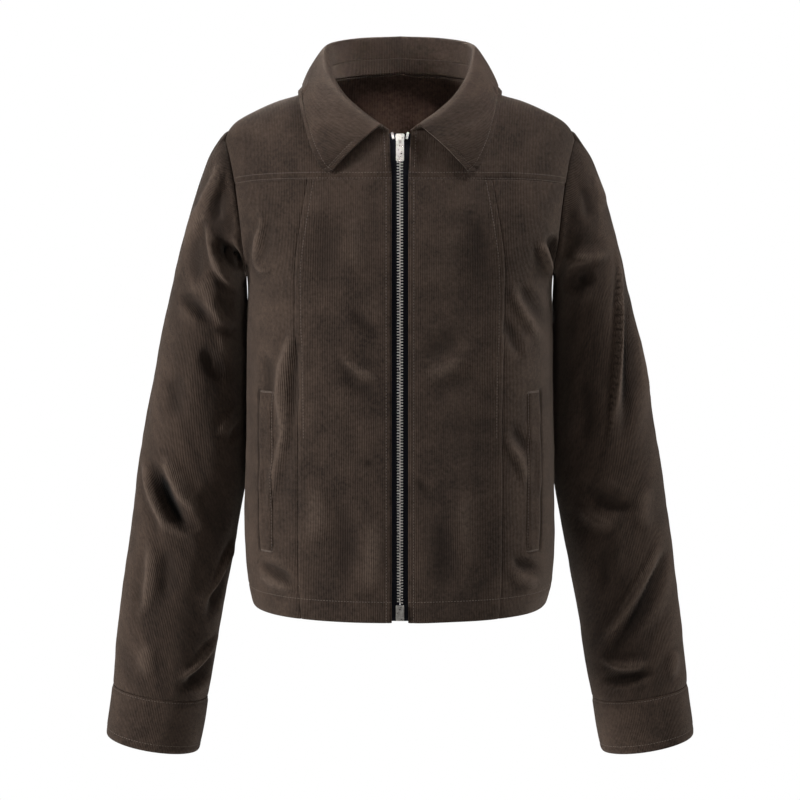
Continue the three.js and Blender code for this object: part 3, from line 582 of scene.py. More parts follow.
# Slow unevenness of cloth, from a few waves in settled directions.
def unevenness(a, b, seed, wave, height):
    chance = np.random.default_rng(seed)
    total = np.zeros(a.shape)
    for _ in range(7):
        turn = chance.uniform(0, math.pi)
        size = wave * chance.uniform(0.6, 1.6)
        start = chance.uniform(0, 6.28)
        total += np.sin((a * math.cos(turn) + b * math.sin(turn)) * 2 * math.pi / size + start)
    return total * height / 3


def surfaceNormals(points, closed=False):
    if closed:
        ring = points[:, :-1]
        across = np.roll(ring, -1, 1) - np.roll(ring, 1, 1)
        across = np.concatenate([across, across[:, :1]], 1)
    else:
        across = np.gradient(points, axis=1)
    normal = np.cross(across, np.gradient(points, axis=0))
    return normal / np.maximum(np.linalg.norm(normal, axis=-1, keepdims=True), 1e-9)


# Distance along the cloth from each of a grid's four edges.
def edgeDistances(points):
    across = np.linalg.norm(np.diff(points, axis=1), axis=-1)
    along = np.linalg.norm(np.diff(points, axis=0), axis=-1)
    start = np.pad(np.cumsum(across, 1), ((0, 0), (1, 0)))
    bottom = np.pad(np.cumsum(along, 0), ((1, 0), (0, 0)))
    return dict(start=start, end=start[:, -1:] - start, bottom=bottom, top=bottom[-1:] - bottom)


# Seams roll in at an edge; stitch rows press a groove and pucker the cloth beside them.
def edgeRelief(distances, seams, rows, seed, groove=0.6):
    total = np.zeros(distances["start"].shape)
    for edge, roll in seams.items():
        total -= roll * np.exp(-distances[edge] / 1.5)
    for number, (edge, gap, low, high) in enumerate(rows):
        d = distances[edge]
        run = distances["bottom"] if edge in ("start", "end") else distances["start"]
        on = ease(run, low - 3, low + 1) * (1 - ease(run, high - 1, high + 3))
        pucker = unevenness(run, d * 0.3, seed + number, 13, 0.2) * np.exp(-np.abs(d - gap) / 5)
        total += on * (pucker - groove * np.exp(-(((d - gap) / 1.1) ** 2)))
    return total


# Rounds a corner between two edges of a grid.
def roundCorner(points, distances, first, second, radius):
    a = np.clip(1 - distances[first] / radius, 0, 1)
    b = np.clip(1 - distances[second] / radius, 0, 1)
    moved = points.copy()
    for edge, size, other in ((first, a, b), (second, b, a)):
        inward = np.gradient(points, axis=1 if edge in ("start", "end") else 0)
        inward = inward / np.linalg.norm(inward, axis=-1, keepdims=True)
        inward = inward * (-1 if edge in ("end", "top") else 1)
        moved += inward * (radius * size * (1 - np.sqrt(1 - other**2 / 2)))[..., None]
    return moved


def finishMesh(mesh):
    mesh.polygons.foreach_set("use_smooth", np.ones(len(mesh.polygons), bool))
    mesh.update()


def newObject(name, mesh, materials, bodyName="jacket"):
    piece = bpy.data.objects.new(name, mesh)
    bpy.context.scene.collection.objects.link(piece)
    for material in materials:
        mesh.materials.append(material)
    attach(piece, bodyName)
    return piece


# A piece of cloth from a grid of points, with the cloth's own directions as its UV map.
def clothPiece(name, points, normals, across, along, ridge, materials,
               wall=clothWall, offset=-1, closed=False):
    rows, columns = points.shape[:2]
    bm = bmesh.new()
    bmesh.ops.create_grid(bm, x_segments=columns - 1, y_segments=rows - 1, size=1)
    mesh = bpy.data.meshes.new(name)
    bm.to_mesh(mesh)
    bm.free()
    flat = np.empty(len(mesh.vertices) * 3)
    mesh.vertices.foreach_get("co", flat)
    flat = flat.reshape(-1, 3)
    column = np.rint((flat[:, 0] + 1) / 2 * (columns - 1)).astype(int)
    row = np.rint((flat[:, 1] + 1) / 2 * (rows - 1)).astype(int)
    mesh.vertices.foreach_set("co", (points[row, column] * mm).ravel())
    corners = np.empty(len(mesh.loops), int)
    mesh.loops.foreach_get("vertex_index", corners)
    uv = np.stack([across[row, column], along[row, column]], -1) * mm
    mesh.uv_layers.new(name="cloth").data.foreach_set("uv", uv[corners].ravel())
    # The ridge attribute feeds the painted highlight on fold ridges, the painted shade in fold troughs and
    # the painted shadow in the pocket opening.
    mesh.attributes.new("ridge", "FLOAT", "POINT").data.foreach_set("value", ridge[row, column])
    mesh.update()
    middle = mesh.polygons[len(mesh.polygons) // 2]
    facing = normals[row, column][middle.vertices[0]]
    if middle.normal.dot(Vector(facing)) < 0:
        mesh.flip_normals()
    if closed:
        bm = bmesh.new()
        bm.from_mesh(mesh)
        bmesh.ops.remove_doubles(bm, verts=bm.verts, dist=1e-6)
        bm.to_mesh(mesh)
        bm.free()
    finishMesh(mesh)
    piece = newObject(name, mesh, materials)
    thickness = piece.modifiers.new("thickness", "SOLIDIFY")
    thickness.thickness = wall * mm
    thickness.offset = offset
    thickness.material_offset = 1
    return piece


# Points and normals at steps of one spacing along a line of grid places.
def alongLine(points, normals, spacing):
    run = np.concatenate([[0], np.cumsum(np.linalg.norm(np.diff(points, axis=0), axis=1))])
    at = np.arange(spacing / 2, run[-1], spacing)
    spots = np.stack([np.interp(at, run, points[:, k]) for k in range(3)], -1)
    ups = np.stack([np.interp(at, run, normals[:, k]) for k in range(3)], -1)
    ahead = np.stack([np.interp(at + 0.5, run, points[:, k]) for k in range(3)], -1)
    behind = np.stack([np.interp(at - 0.5, run, points[:, k]) for k in range(3)], -1)
    direction = ahead - behind
    keep = np.linalg.norm(direction, axis=1) > 1e-6
    direction = direction[keep] / np.linalg.norm(direction[keep], axis=1, keepdims=True)
    return spots[keep], direction, ups[keep]


# A line across a grid at a distance from one edge, between two places along that edge.
def edgeLine(points, normals, distances, edge, gap, low, high):
    grids = [distances[edge], points, normals, distances["bottom"]]
    if edge in ("bottom", "top"):
        grids = [grid.swapaxes(0, 1) for grid in (distances[edge], points, normals, distances["start"])]
    found = []
    for gaps, spots, ups, run in zip(*grids):
        order = np.argsort(gaps)
        values = [np.interp(gap, gaps[order], spots[order, k]) for k in range(3)]
        values += [np.interp(gap, gaps[order], ups[order, k]) for k in range(3)]
        values.append(np.interp(gap, gaps[order], run[order]))
        found.append(values)
    found = np.array(found)
    found = found[(found[:, 6] >= low) & (found[:, 6] <= high)]
    return found[:, :3], found[:, 3:6]


# Copies of one small shape at many places, each with its own three directions, as one mesh.
def manyCopies(name, shape, spots, x, y, z, materials):
    count = len(shape.vertices)
    base = np.empty(count * 3)
    shape.vertices.foreach_get("co", base)
    base = base.reshape(-1, 3)
    turned = (base[None, :, :1] * x[:, None] + base[None, :, 1:2] * y[:, None]
              + base[None, :, 2:] * z[:, None])
    where = (spots[:, None] * mm + turned).reshape(-1, 3)
    faces = [[v + n * count for v in face.vertices] for n in range(len(spots)) for face in shape.polygons]
    mesh = bpy.data.meshes.new(name)
    mesh.from_pydata(where.tolist(), [], faces)
    bm = bmesh.new()
    bm.from_mesh(mesh)
    bmesh.ops.recalc_face_normals(bm, faces=bm.faces)
    bm.to_mesh(mesh)
    bm.free()
    finishMesh(mesh)
    return newObject(name, mesh, materials)


# ---- materials ----

# Colours of the corduroy. Two are painted light: a lighter brown as painted highlight on fold ridges, and a
# near black as painted shadow in the pocket opening.
corduroyLook = dict(
    wale=0.0018, dark=(0.0125, 0.0076, 0.0052, 1), light=(0.058, 0.038, 0.0275, 1),
    worn=(0.080, 0.056, 0.0425, 1), slit=(0.001, 0.0008, 0.0006, 1),
    sheen=0.22, sheenRoughness=0.36, sheenTint=(0.64, 0.52, 0.43, 1),
)


def addNode(tree, kind, inputs=None, **settings):
    node = tree.nodes.new(kind)
    for key, value in settings.items():
        setattr(node, key, value)
    for key, value in (inputs or {}).items():
        if isinstance(value, bpy.types.NodeSocket):
            tree.links.new(value, node.inputs[key])
        else:
            node.inputs[key].default_value = value
    return node


def maths(tree, operation, a, b=0.0, c=0.0):
    return addNode(tree, "ShaderNodeMath", {0: a, 1: b, 2: c}, operation=operation).outputs[0]


def blendColours(tree, factor, a, b):
    node = tree.nodes.new("ShaderNodeMix")
    node.data_type = "RGBA"
    for socket, value in ((node.inputs[0], factor), (node.inputs[6], a), (node.inputs[7], b)):
        if isinstance(value, bpy.types.NodeSocket):
            tree.links.new(value, socket)
        else:
            socket.default_value = value
    return node.outputs[2]


def ranged(tree, value, low, high, out0=0.0, out1=1.0):
    names = {"Value": value, "From Min": low, "From Max": high, "To Min": out0, "To Max": out1}
    return addNode(tree, "ShaderNodeMapRange", names).outputs["Result"]


def noise(tree, where, scale, detail, roughness=0.5):
    inputs = {"Vector": where, "Scale": scale, "Detail": detail, "Roughness": roughness}
    return addNode(tree, "ShaderNodeTexNoise", inputs).outputs["Fac"]


# Ribs along the cloth, each a row of short brushed tufts, with the nap lying in soft patches. From the ridge
# attribute it also paints highlight on fold ridges, shade in fold troughs and a shadow in the pocket opening.
def makeCorduroyGroup():
    tree = bpy.data.node_groups.new("corduroyRibs", "ShaderNodeTree")
    face = tree.interface
    face.new_socket("Cloth", in_out="INPUT", socket_type="NodeSocketVector")
    face.new_socket("Ridge", in_out="INPUT", socket_type="NodeSocketFloat")
    face.new_socket("Color", in_out="OUTPUT", socket_type="NodeSocketColor")
    face.new_socket("Height", in_out="OUTPUT", socket_type="NodeSocketFloat")
    given = tree.nodes.new("NodeGroupInput")
    result = tree.nodes.new("NodeGroupOutput")
    cloth = given.outputs["Cloth"]
    wander = noise(tree, cloth, 60.0, 1.0)
    wobble = maths(tree, "MULTIPLY", maths(tree, "SUBTRACT", wander, 0.5), 0.0007)
    parts = addNode(tree, "ShaderNodeSeparateXYZ", {"Vector": cloth})
    across = maths(tree, "ADD", parts.outputs["X"], wobble)
    phase = maths(tree, "MULTIPLY", across, 2 * math.pi / corduroyLook["wale"])
    wave = maths(tree, "MULTIPLY_ADD", maths(tree, "COSINE", phase), 0.5, 0.5)
    rib = maths(tree, "POWER", wave, 0.55)
    number = maths(tree, "FLOOR", maths(tree, "DIVIDE", across, corduroyLook["wale"]))
    lengthwise = addNode(tree, "ShaderNodeCombineXYZ", {
        "X": number, "Y": maths(tree, "MULTIPLY", parts.outputs["Y"], 210.0), "Z": 0.0})
    eachRib = noise(tree, lengthwise.outputs[0], 1.0, 2.0)
    tufts = noise(tree, cloth, 1500.0, 2.0)
    grain = noise(tree, cloth, 260.0, 3.0, 0.65)
    patches = noise(tree, cloth, 34.0, 5.0, 0.62)
    broad = noise(tree, cloth, 9.0, 2.0)
    nap = maths(tree, "MULTIPLY_ADD", patches, 0.62, maths(tree, "MULTIPLY", broad, 0.38))
    nap = ranged(tree, nap, 0.38, 0.62)
    shade = maths(tree, "MULTIPLY_ADD", rib, 0.36, maths(tree, "MULTIPLY", nap, 0.46))
    for fleck, strength in ((grain, 1.1), (eachRib, 0.75), (tufts, 0.35)):
        centred = maths(tree, "SUBTRACT", fleck, 0.5)
        shade = maths(tree, "ADD", shade, maths(tree, "MULTIPLY", centred, strength))
    colour = blendColours(tree, ranged(tree, shade, 0.0, 0.95), corduroyLook["dark"], corduroyLook["light"])
    # Painted highlight on fold ridges, mottled by the grain.
    paintedRidgeHighlight = ranged(tree, given.outputs["Ridge"], 0.5, 2.8)
    paintedRidgeHighlight = maths(tree, "MULTIPLY", paintedRidgeHighlight, ranged(tree, grain, 0.1, 0.75))
    colour = blendColours(tree, paintedRidgeHighlight, colour, corduroyLook["worn"])
    # Painted shade in fold troughs: the colour darkens where the ridge attribute falls below zero.
    sunk = ranged(tree, given.outputs["Ridge"], -2.2, -0.2, 0.55, 0.0)
    colour = blendColours(tree, sunk, colour, corduroyLook["dark"])
    # Painted shadow in the pocket opening: near black where the ridge attribute is pushed far down.
    slit = ranged(tree, given.outputs["Ridge"], -9.0, -5.0, 0.92, 0.0)
    colour = blendColours(tree, slit, colour, corduroyLook["slit"])
    height = rib
    for fleck, strength in ((tufts, 0.3), (grain, 0.9), (eachRib, 0.35)):
        height = maths(tree, "ADD", height, maths(tree, "MULTIPLY", fleck, strength))
    tree.links.new(colour, result.inputs["Color"])
    tree.links.new(height, result.inputs["Height"])
    return tree


def newMaterial(name):
    material = bpy.data.materials.new(name)
    material.use_nodes = True
    tree = material.node_tree
    return material, tree, tree.nodes["Principled BSDF"]


def makeCorduroy(name, ribs, bump, sheen, tint):
    material, tree, shader = newMaterial(name)
    cloth = addNode(tree, "ShaderNodeUVMap", uv_map="cloth")
    ridge = addNode(tree, "ShaderNodeAttribute", attribute_name="ridge")
    group = addNode(tree, "ShaderNodeGroup", node_tree=ribs)
    tree.links.new(cloth.outputs["UV"], group.inputs["Cloth"])
    tree.links.new(ridge.outputs["Fac"], group.inputs["Ridge"])
    colour = addNode(tree, "ShaderNodeMix", data_type="RGBA", blend_type="MULTIPLY")
    colour.inputs[0].default_value = 1.0
    tree.links.new(group.outputs["Color"], colour.inputs[6])
    colour.inputs[7].default_value = tint
    tree.links.new(colour.outputs[2], shader.inputs["Base Color"])
    height = group.outputs["Height"]
    relief = addNode(tree, "ShaderNodeBump", {"Strength": bump, "Distance": 0.0005, "Height": height})
    tree.links.new(relief.outputs["Normal"], shader.inputs["Normal"])
    shader.inputs["Roughness"].default_value = 0.92
    shader.inputs["Specular IOR Level"].default_value = 0.18
    shader.inputs["Sheen Weight"].default_value = sheen
    shader.inputs["Sheen Roughness"].default_value = corduroyLook["sheenRoughness"]
    shader.inputs["Sheen Tint"].default_value = corduroyLook["sheenTint"]
    return material


def makeThread():
    material, tree, shader = newMaterial("thread")
    spot = addNode(tree, "ShaderNodeTexCoord")
    fibres = noise(tree, spot.outputs["Object"], 2600.0, 2.0)
    colour = blendColours(tree, fibres, (0.048, 0.034, 0.026, 1), (0.150, 0.112, 0.088, 1))
    tree.links.new(colour, shader.inputs["Base Color"])
    shader.inputs["Roughness"].default_value = 0.6
    return material


def makeTape():
    material, tree, shader = newMaterial("zipTape")
    cloth = addNode(tree, "ShaderNodeUVMap", uv_map="cloth")
    parts = addNode(tree, "ShaderNodeSeparateXYZ", {"Vector": cloth.outputs["UV"]})
    lean = maths(tree, "PINGPONG", parts.outputs["X"], 0.0012)
    twill = maths(tree, "ADD", parts.outputs["Y"], lean)
    twill = maths(tree, "SINE", maths(tree, "MULTIPLY", twill, 2 * math.pi / 0.0007))
    twill = maths(tree, "MULTIPLY_ADD", twill, 0.5, 0.5)
    colour = blendColours(tree, twill, (0.0018, 0.002, 0.0034, 1), (0.0065, 0.007, 0.0115, 1))
    tree.links.new(colour, shader.inputs["Base Color"])
    relief = addNode(tree, "ShaderNodeBump", {"Strength": 0.6, "Distance": 0.0002, "Height": twill})
    tree.links.new(relief.outputs["Normal"], shader.inputs["Normal"])
    shader.inputs["Roughness"].default_value = 0.9
    shader.inputs["Specular IOR Level"].default_value = 0.15
    return material


def makeMetal():
    material, tree, shader = newMaterial("agedNickel")
    spot = addNode(tree, "ShaderNodeTexCoord")
    cloud = noise(tree, spot.outputs["Object"], 420.0, 4.0)
    colour = blendColours(tree, cloud, (0.25, 0.23, 0.212, 1), (0.74, 0.71, 0.67, 1))
    tree.links.new(colour, shader.inputs["Base Color"])
    rough = ranged(tree, cloud, 0.3, 0.7, 0.24, 0.46)
    tree.links.new(rough, shader.inputs["Roughness"])
    shader.inputs["Metallic"].default_value = 1.0
    return material


corduroyRibs = makeCorduroyGroup()
corduroy = makeCorduroy("corduroy", corduroyRibs, 0.85, corduroyLook["sheen"], (1, 1, 1, 1))
# The wrong side has a flatter rib and less sheen of its own. Its lighter tint is partly its own paler tone
# and partly painted light on the shaded inside faces.
wrongSideToneAndPaintedLight = makeCorduroy("corduroyWrongSideWithPaintedLight", corduroyRibs, 0.25, 0.12, (1.9, 1.72, 1.74, 1))
bothSides = [corduroy, wrongSideToneAndPaintedLight]
thread = makeThread()
zipTapeCloth = makeTape()
metal = makeMetal()
print("materials made")

# ---- panels ----

stitchLines = []


def addStitches(points, normals, spacing=3.1):
    if len(points) > 2:
        stitchLines.append(alongLine(points, normals, spacing))


def stitchRows(points, normals, distances, rows):
    for row in rows:
        addStitches(*edgeLine(points, normals, distances, *row))


# Arc length round the body from its middle, level by level.
def girthTable(face):
    theta = np.linspace(0, quarter, 240)
    heights = np.arange(-560, 35, 5.0)
    grid = []
    for z in heights:
        power = 2 / rowValue(bodyRings, z, 4)
        x = rowValue(bodyRings, z, 1) * np.sin(theta) ** power
        y = rowValue(bodyRings, z, 2 if face < 0 else 3) * np.cos(theta) ** power
        grid.append(np.concatenate([[0], np.cumsum(np.hypot(np.diff(x), np.diff(y)))]))
    return theta, heights, np.array(grid)


girths = {-1: girthTable(-1), 1: girthTable(1)}


def girth(face, theta, z):
    angles, heights, grid = girths[face]
    a = np.clip(np.abs(theta) / quarter * (len(angles) - 1), 0, len(angles) - 1.001)
    b = np.clip((z - heights[0]) / 5, 0, len(heights) - 1.001)
    i, j = a.astype(int), b.astype(int)
    fa, fb = a - i, b - j
    low = mix(grid[j, i], grid[j, i + 1], fa)
    high = mix(grid[j + 1, i], grid[j + 1, i + 1], fa)
    return np.sign(theta) * mix(low, high, fb)


# Strength and breadth of the folds on each part.
foldSet = dict(body=(1.75, 0.75), sleeveFront=(1.9, 0.72), sleeveBack=(1.2, 0.9))


def bodyRelief(face, points, normals):
    facing = ease(normals[..., 1] * face, 0.02, 0.4)
    folds = foldHeight(points, foldsFront if face < 0 else foldsBack, *foldSet["body"]) * facing
    waves = unevenness(points[..., 0] + 0.4 * points[..., 1], points[..., 2], 11 + face, 85, 0.55)
    waves += unevenness(points[..., 0] - 0.5 * points[..., 1], points[..., 2], 31 + face, 34, 0.16)
    return folds + waves


def outwards(points, normals, axis):
    away = (points - axis) * normals
    return normals * np.sign(away.sum())


panels = [
    dict(name="centreFront", node="centre-front", face=-1, places=centreFrontPlaces,
         seams=dict(start=1.3, end=0.9, top=0.9, bottom=1.2),
         rows=[("start", 5.5, 0, 1e4), ("end", 6.8, 184, 1e4), ("bottom", 22, 0, 1e4)],
         flat=(0.095, 0.448), area=None),
    dict(name="sideFront", node="side-front", face=-1, places=sideFrontPlaces,
         seams=dict(start=0.9, end=0.8, top=0.9, bottom=1.2), rows=[("bottom", 22, 0, 1e4)],
         flat=(0.14, 0.448), area=0.052),
    dict(name="frontYoke", node="front-yoke", face=-1, places=frontYokePlaces,
         seams=dict(start=1.3, end=0.7, top=0.5, bottom=0.9),
         rows=[("bottom", 1.4, 0, 1e4), ("bottom", 7.2, 0, 1e4), ("start", 5.5, 10, 1e4)],
         flat=(0.17, 0.15), area=0.0194),
]


def makePanel(panel, side, name):
    spots = panel["places"]()
    points = bodyPoint(panel["face"], spots[..., 0], spots[..., 1]) * np.array([side, 1, 1])
    normals = surfaceNormals(points)
    axis = points * np.array([0, 0, 1]) + np.array([0, sideY, 0])
    normals = outwards(points, normals, axis)
    distances = edgeDistances(points)
    relief = bodyRelief(panel["face"], points, normals)
    # Folds die out at the armhole and neck, and lie flat along the front edges; beside a pocket's welt a
    # groove is pressed in for its opening.
    if panel["name"] == "frontYoke":
        relief *= 0.6 * ease(distances["end"], 0, 10) * ease(distances["top"], 0, 20)
    if panel["name"] == "backPanel":
        relief *= ease(distances["top"], 0, 25)
    if panel["name"] == "centreFront":
        relief *= 0.35 + 0.65 * ease(distances["start"], 0, 14)
    if panel["name"] == "sideFront":
        x = np.abs(points[..., 0]) - pocket["middleX"]
        along = ease(points[..., 2], pocket["bottomZ"] - 3, pocket["bottomZ"] + 8)
        along *= 1 - ease(points[..., 2], pocket["topZ"] - 8, pocket["topZ"] + 3)
        slit = along * np.exp(-(((x - pocket["width"] / 2 - 1.3) / 1.9) ** 2))
        relief -= 3.6 * slit
        upper = ease(points[..., 2], -212, -190)
        relief *= 1 - upper * (1 - ease(distances["end"], 0, 9))
    # The fold heights also go to the ridge attribute, for painted highlight on fold ridges and painted shade
    # in fold troughs.
    ridge = relief.copy()
    # Beside the welt the ridge is pushed far down, which paints a near-black shadow in the pocket opening.
    if panel["name"] == "sideFront":
        ridge -= 9 * slit
    relief = relief + edgeRelief(distances, panel["seams"], panel["rows"], 50 + side)
    shaped = points + normals * relief[..., None]
    across = girth(panel["face"], spots[..., 0], spots[..., 1]) * side
    piece = clothPiece(name, shaped, normals, across, points[..., 2] + 900, ridge, bothSides)
    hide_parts(panel["nodes"])
    stitchRows(shaped, normals, distances, panel["rows"])
    return piece


sides = {1: ("Right", "right"), -1: ("Left", "left")}
for panel in panels:
    for side, (tail, nodeTail) in sides.items():
        panel["nodes"] = f"{panel['node']}-{nodeTail}"
        makePanel(panel, side, panel["name"] + tail)
backPanel = dict(name="backPanel", face=1, places=backPlaces, nodes="back",
                 seams=dict(start=0.8, end=0.8, top=0.5, bottom=1.2), rows=[("bottom", 22, 0, 1e4)],
                 flat=(0.5, 0.58), area=0.24)
makePanel(backPanel, 1, backPanel["name"])
print("body panels made")

# ---- pocket welts ----

welt = dict(wall=1.6, lift=0.2, flat=(0.0135, 0.2), area=0.0026)


def makeWelt(side, name, node):
    length = pocket["topZ"] - pocket["bottomZ"]
    x = pocket["middleX"] + (steps(pocket["width"], 1.4) - 0.5) * pocket["width"]
    z = mix(pocket["bottomZ"], pocket["topZ"], steps(length, 2.2))
    gridX, gridZ = np.meshgrid(x, z)
    spots = place(gridX, gridZ)
    points = bodyPoint(-1, spots[..., 0], spots[..., 1]) * np.array([side, 1, 1])
    normals = outwards(points, surfaceNormals(points), points * np.array([0, 0, 1]) + np.array([0, sideY, 0]))
    distances = edgeDistances(points)
    relief = bodyRelief(-1, points, normals) + welt["lift"] + welt["wall"]
    part = (gridX - pocket["middleX"]) / pocket["width"] + 0.5
    middle = np.sin(np.pi * np.clip((gridZ - pocket["bottomZ"]) / length, 0, 1))
    relief += ease(part, 0.45, 1) * middle * (1.9 + unevenness(gridZ, gridX * 0, 5 + side, 46, 1.0))
    rows = [("start", 2.0, 0, 1e4)]
    relief += edgeRelief(distances, dict(start=1.9, end=0.8, top=1.7, bottom=1.7), rows, 70 + side)
    shaped = points + normals * relief[..., None]
    across = girth(-1, spots[..., 0], spots[..., 1]) * side
    piece = clothPiece(name, shaped, normals, across, gridZ + 900, relief * 0, bothSides, wall=welt["wall"])
    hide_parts(node)
    stitchRows(shaped, normals, distances, rows)
    for edge in ("bottom", "top"):
        for gap in (1.0, 2.0):
            addStitches(*edgeLine(shaped, normals, distances, edge, gap, 0, 1e4), 1.4)


for side, (tail, nodeTail) in sides.items():
    makeWelt(side, "pocketWelt" + tail, f"pocket-welt-{nodeTail}")
print("welts made")

# ---- sleeves and cuffs ----


# The wales run on round the underarm seam, where the map would jump back.
def tubeDirections(points):
    normals = surfaceNormals(points, closed=True)
    normals = outwards(points, normals, points[:, :-1].mean(1)[:, None])
    distances = edgeDistances(points)
    return normals, distances, distances["start"] - distances["start"][:, -1:] / 2


def makeSleeve(side, name, node):
    points = sleeveBase() * np.array([side, 1, 1])
    normals, distances, across = tubeDirections(points)
    ahead = ease(-normals[..., 1], -0.05, 0.4)
    behind = ease(normals[..., 1], -0.05, 0.4)
    mirrored = points * np.array([side, 1, 1])
    relief = foldHeight(points, sleeveFoldsFront[side], *foldSet["sleeveFront"]) * ahead
    relief += foldHeight(mirrored, sleeveFoldsBack, *foldSet["sleeveBack"]) * behind
    relief += unevenness(across, distances["bottom"], 90 + side, 95, 0.75)
    relief += unevenness(across, distances["bottom"], 120 + side, 36, 0.18)
    fade = ease(distances["bottom"], 0, 12)
    relief *= fade * (0.3 + 0.7 * ease(distances["top"], 0, 12))
    facingBody = ease(-normals[..., 0] * side, 0.3, 0.9) * (points[..., 2] > -480)
    flatter = np.clip(relief, mix(-4, 0.1, facingBody), mix(4, 0.5, facingBody))
    relief = np.where(facingBody > 0, flatter, relief)
    # The fold heights also go to the ridge attribute, for painted highlight on fold ridges and painted shade
    # in fold troughs.
    ridge = relief.copy()
    relief += edgeRelief(distances, dict(bottom=0.9, top=1.0), [], 0)
    shaped = points + normals * relief[..., None]
    shaped[:, -1] = shaped[:, 0]
    piece = clothPiece(name, shaped, normals, across, 900 - distances["bottom"], ridge, bothSides,
                       closed=True)
    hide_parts(node)


def makeCuff(side, name, node):
    points = cuffBase() * np.array([side, 1, 1])
    normals, distances, across = tubeDirections(points)
    relief = unevenness(across, distances["bottom"], 140 + side, 60, 0.3)
    rows = [("bottom", 2.2, 0, 1e4), ("top", 8.5, 0, 1e4)]
    ridge = relief * 0.5
    relief += edgeRelief(distances, dict(bottom=1.0, top=1.2), rows, 160 + side)
    shaped = points + normals * relief[..., None]
    shaped[:, -1] = shaped[:, 0]
    piece = clothPiece(name, shaped, normals, across, 900 - distances["bottom"], ridge, bothSides,
                       wall=clothWall + 0.6, closed=True)
    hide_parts(node)
    stitchRows(shaped, normals, distances, rows)


for side, (tail, nodeTail) in sides.items():
    makeSleeve(side, "sleeve" + tail, f"sleeve-{nodeTail}")
    makeCuff(side, "cuff" + tail, f"cuff-{nodeTail}")
print("sleeves made")

# ---- collar ----

collarSet = dict(flat=(0.5, 0.11), area=0.0415, tipRadius=11)
collarFolds = [
    (-1.0, 5, 0.2, [(44, -30), (60, -40), (80, -47)]),
    (0.9, 5, 0.2, [(48, -42), (64, -50), (82, -56)]),
    (-0.9, 4, 0, [(-82, -6), (-72, -13), (-60, -22)]),
    (0.8, 6, 0, [(-86, -16), (-74, -26), (-60, -34)]),
    (-0.7, 7, 0, [(-84, -50), (-74, -62), (-60, -70)]),
]


def makeCollar():
    points = collarBase()
    distances = edgeDistances(points)
    for end in ("start", "end"):
        points = roundCorner(points, distances, end, "top", collarSet["tipRadius"])
    normals = surfaceNormals(points)
    distances = edgeDistances(points)
    fall = points.shape[0] * 3 // 4
    axis = points[fall] * np.array([0, 0, 1]) + np.array([0, -10, 0])
    normals = normals * np.sign(((points[fall] - axis) * normals[fall]).sum())
    onFall = ease(distances["bottom"], 30, 42)
    relief = foldHeight(points, collarFolds) * onFall * ease(-normals[..., 1], 0, 0.3)
    relief += unevenness(distances["start"], distances["bottom"], 7, 60, 0.22)
    rows = [("top", 5.6, 0, 1e4), ("start", 5.6, 36, 1e4), ("end", 5.6, 36, 1e4)]
    # Near the outer edge the ridge is raised, which paints a highlight along the collar's rolled edge.
    ridge = relief + 0.6 * np.exp(-distances["top"] / 3)
    relief += edgeRelief(distances, dict(top=0.3, start=0.3, end=0.3), rows, 180, 1.0)
    shaped = points + normals * relief[..., None]
    across = distances["start"] - distances["start"][:, -1:] / 2
    piece = clothPiece("collarFall", shaped, normals, across, distances["bottom"], ridge,
                       [corduroy, corduroy], wall=collar["wall"], offset=0)
    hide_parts("collar")
    outer = shaped + normals * collar["wall"] / 2
    stitchRows(outer, normals, distances, rows)


def makeStand():
    points = standBase()
    normals = surfaceNormals(points)
    axis = points * np.array([0, 0, 1])
    normals = normals * -np.sign(((points - axis) * normals).sum())
    distances = edgeDistances(points)
    across = distances["start"] - distances["start"][:, -1:] / 2
    piece = clothPiece("collarStand", points, normals, across, distances["bottom"], points[..., 0] * 0,
                       [corduroy, corduroy], offset=0)
    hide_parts("collar-stand")


makeCollar()
makeStand()
print("collar made")

# ---- zip ----

zipSet = dict(tapeWall=0.8, tapeDepth=0.9, tapeTop=-57, tapeBottom=-548, toothPitch=2.9,
              chainTop=-79, chainBottom=-530, toothSize=(3.6, 1.15, 2.2), flat=(0.0137, 0.495))


# Points up the middle of the front, with the direction up and out.
def middleLine(z, x=0.0):
    spots = place(np.maximum(np.abs(x) + 0 * z, 0.01), z)
    points = bodyPoint(-1, spots[:, 0], spots[:, 1])
    up = np.gradient(points, axis=0) * np.array([0, 1, 1])
    up = up / np.linalg.norm(up, axis=1, keepdims=True)
    up = up * np.sign(up[:, 2:])
    out = np.stack([0 * z, -up[:, 2], up[:, 1]], -1)
    points[:, 0] = x
    return points, up, out


def makeTapePiece(side, name, node):
    z = np.linspace(zipSet["tapeBottom"], zipSet["tapeTop"], 170)
    columns = np.array([0.35, 0.6, 1.2, 1.9, 2.6, 3.4, 4.6, 6, 8, 10, 12, 14])
    grid, outGrid = [], []
    for x in columns:
        points, up, out = middleLine(z, x)
        cord = 0.55 * math.exp(-(((x - 1.5) / 1.1) ** 2))
        wave = unevenness(z, z * 0 + x, 210 + side, 55, 0.22) * ease(x, 2, 9)
        grid.append(points + out * (-clothWall - zipSet["tapeDepth"] + cord + wave[:, None]))
        outGrid.append(out)
    points = np.array(grid).transpose(1, 0, 2) * np.array([side, 1, 1])
    normals = np.array(outGrid).transpose(1, 0, 2)
    across = np.broadcast_to(columns[None], points.shape[:2])
    piece = clothPiece(name, points, normals, across, points[..., 2] + 900, points[..., 0] * 0,
                       [zipTapeCloth, zipTapeCloth], wall=zipSet["tapeWall"])
    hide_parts(node)


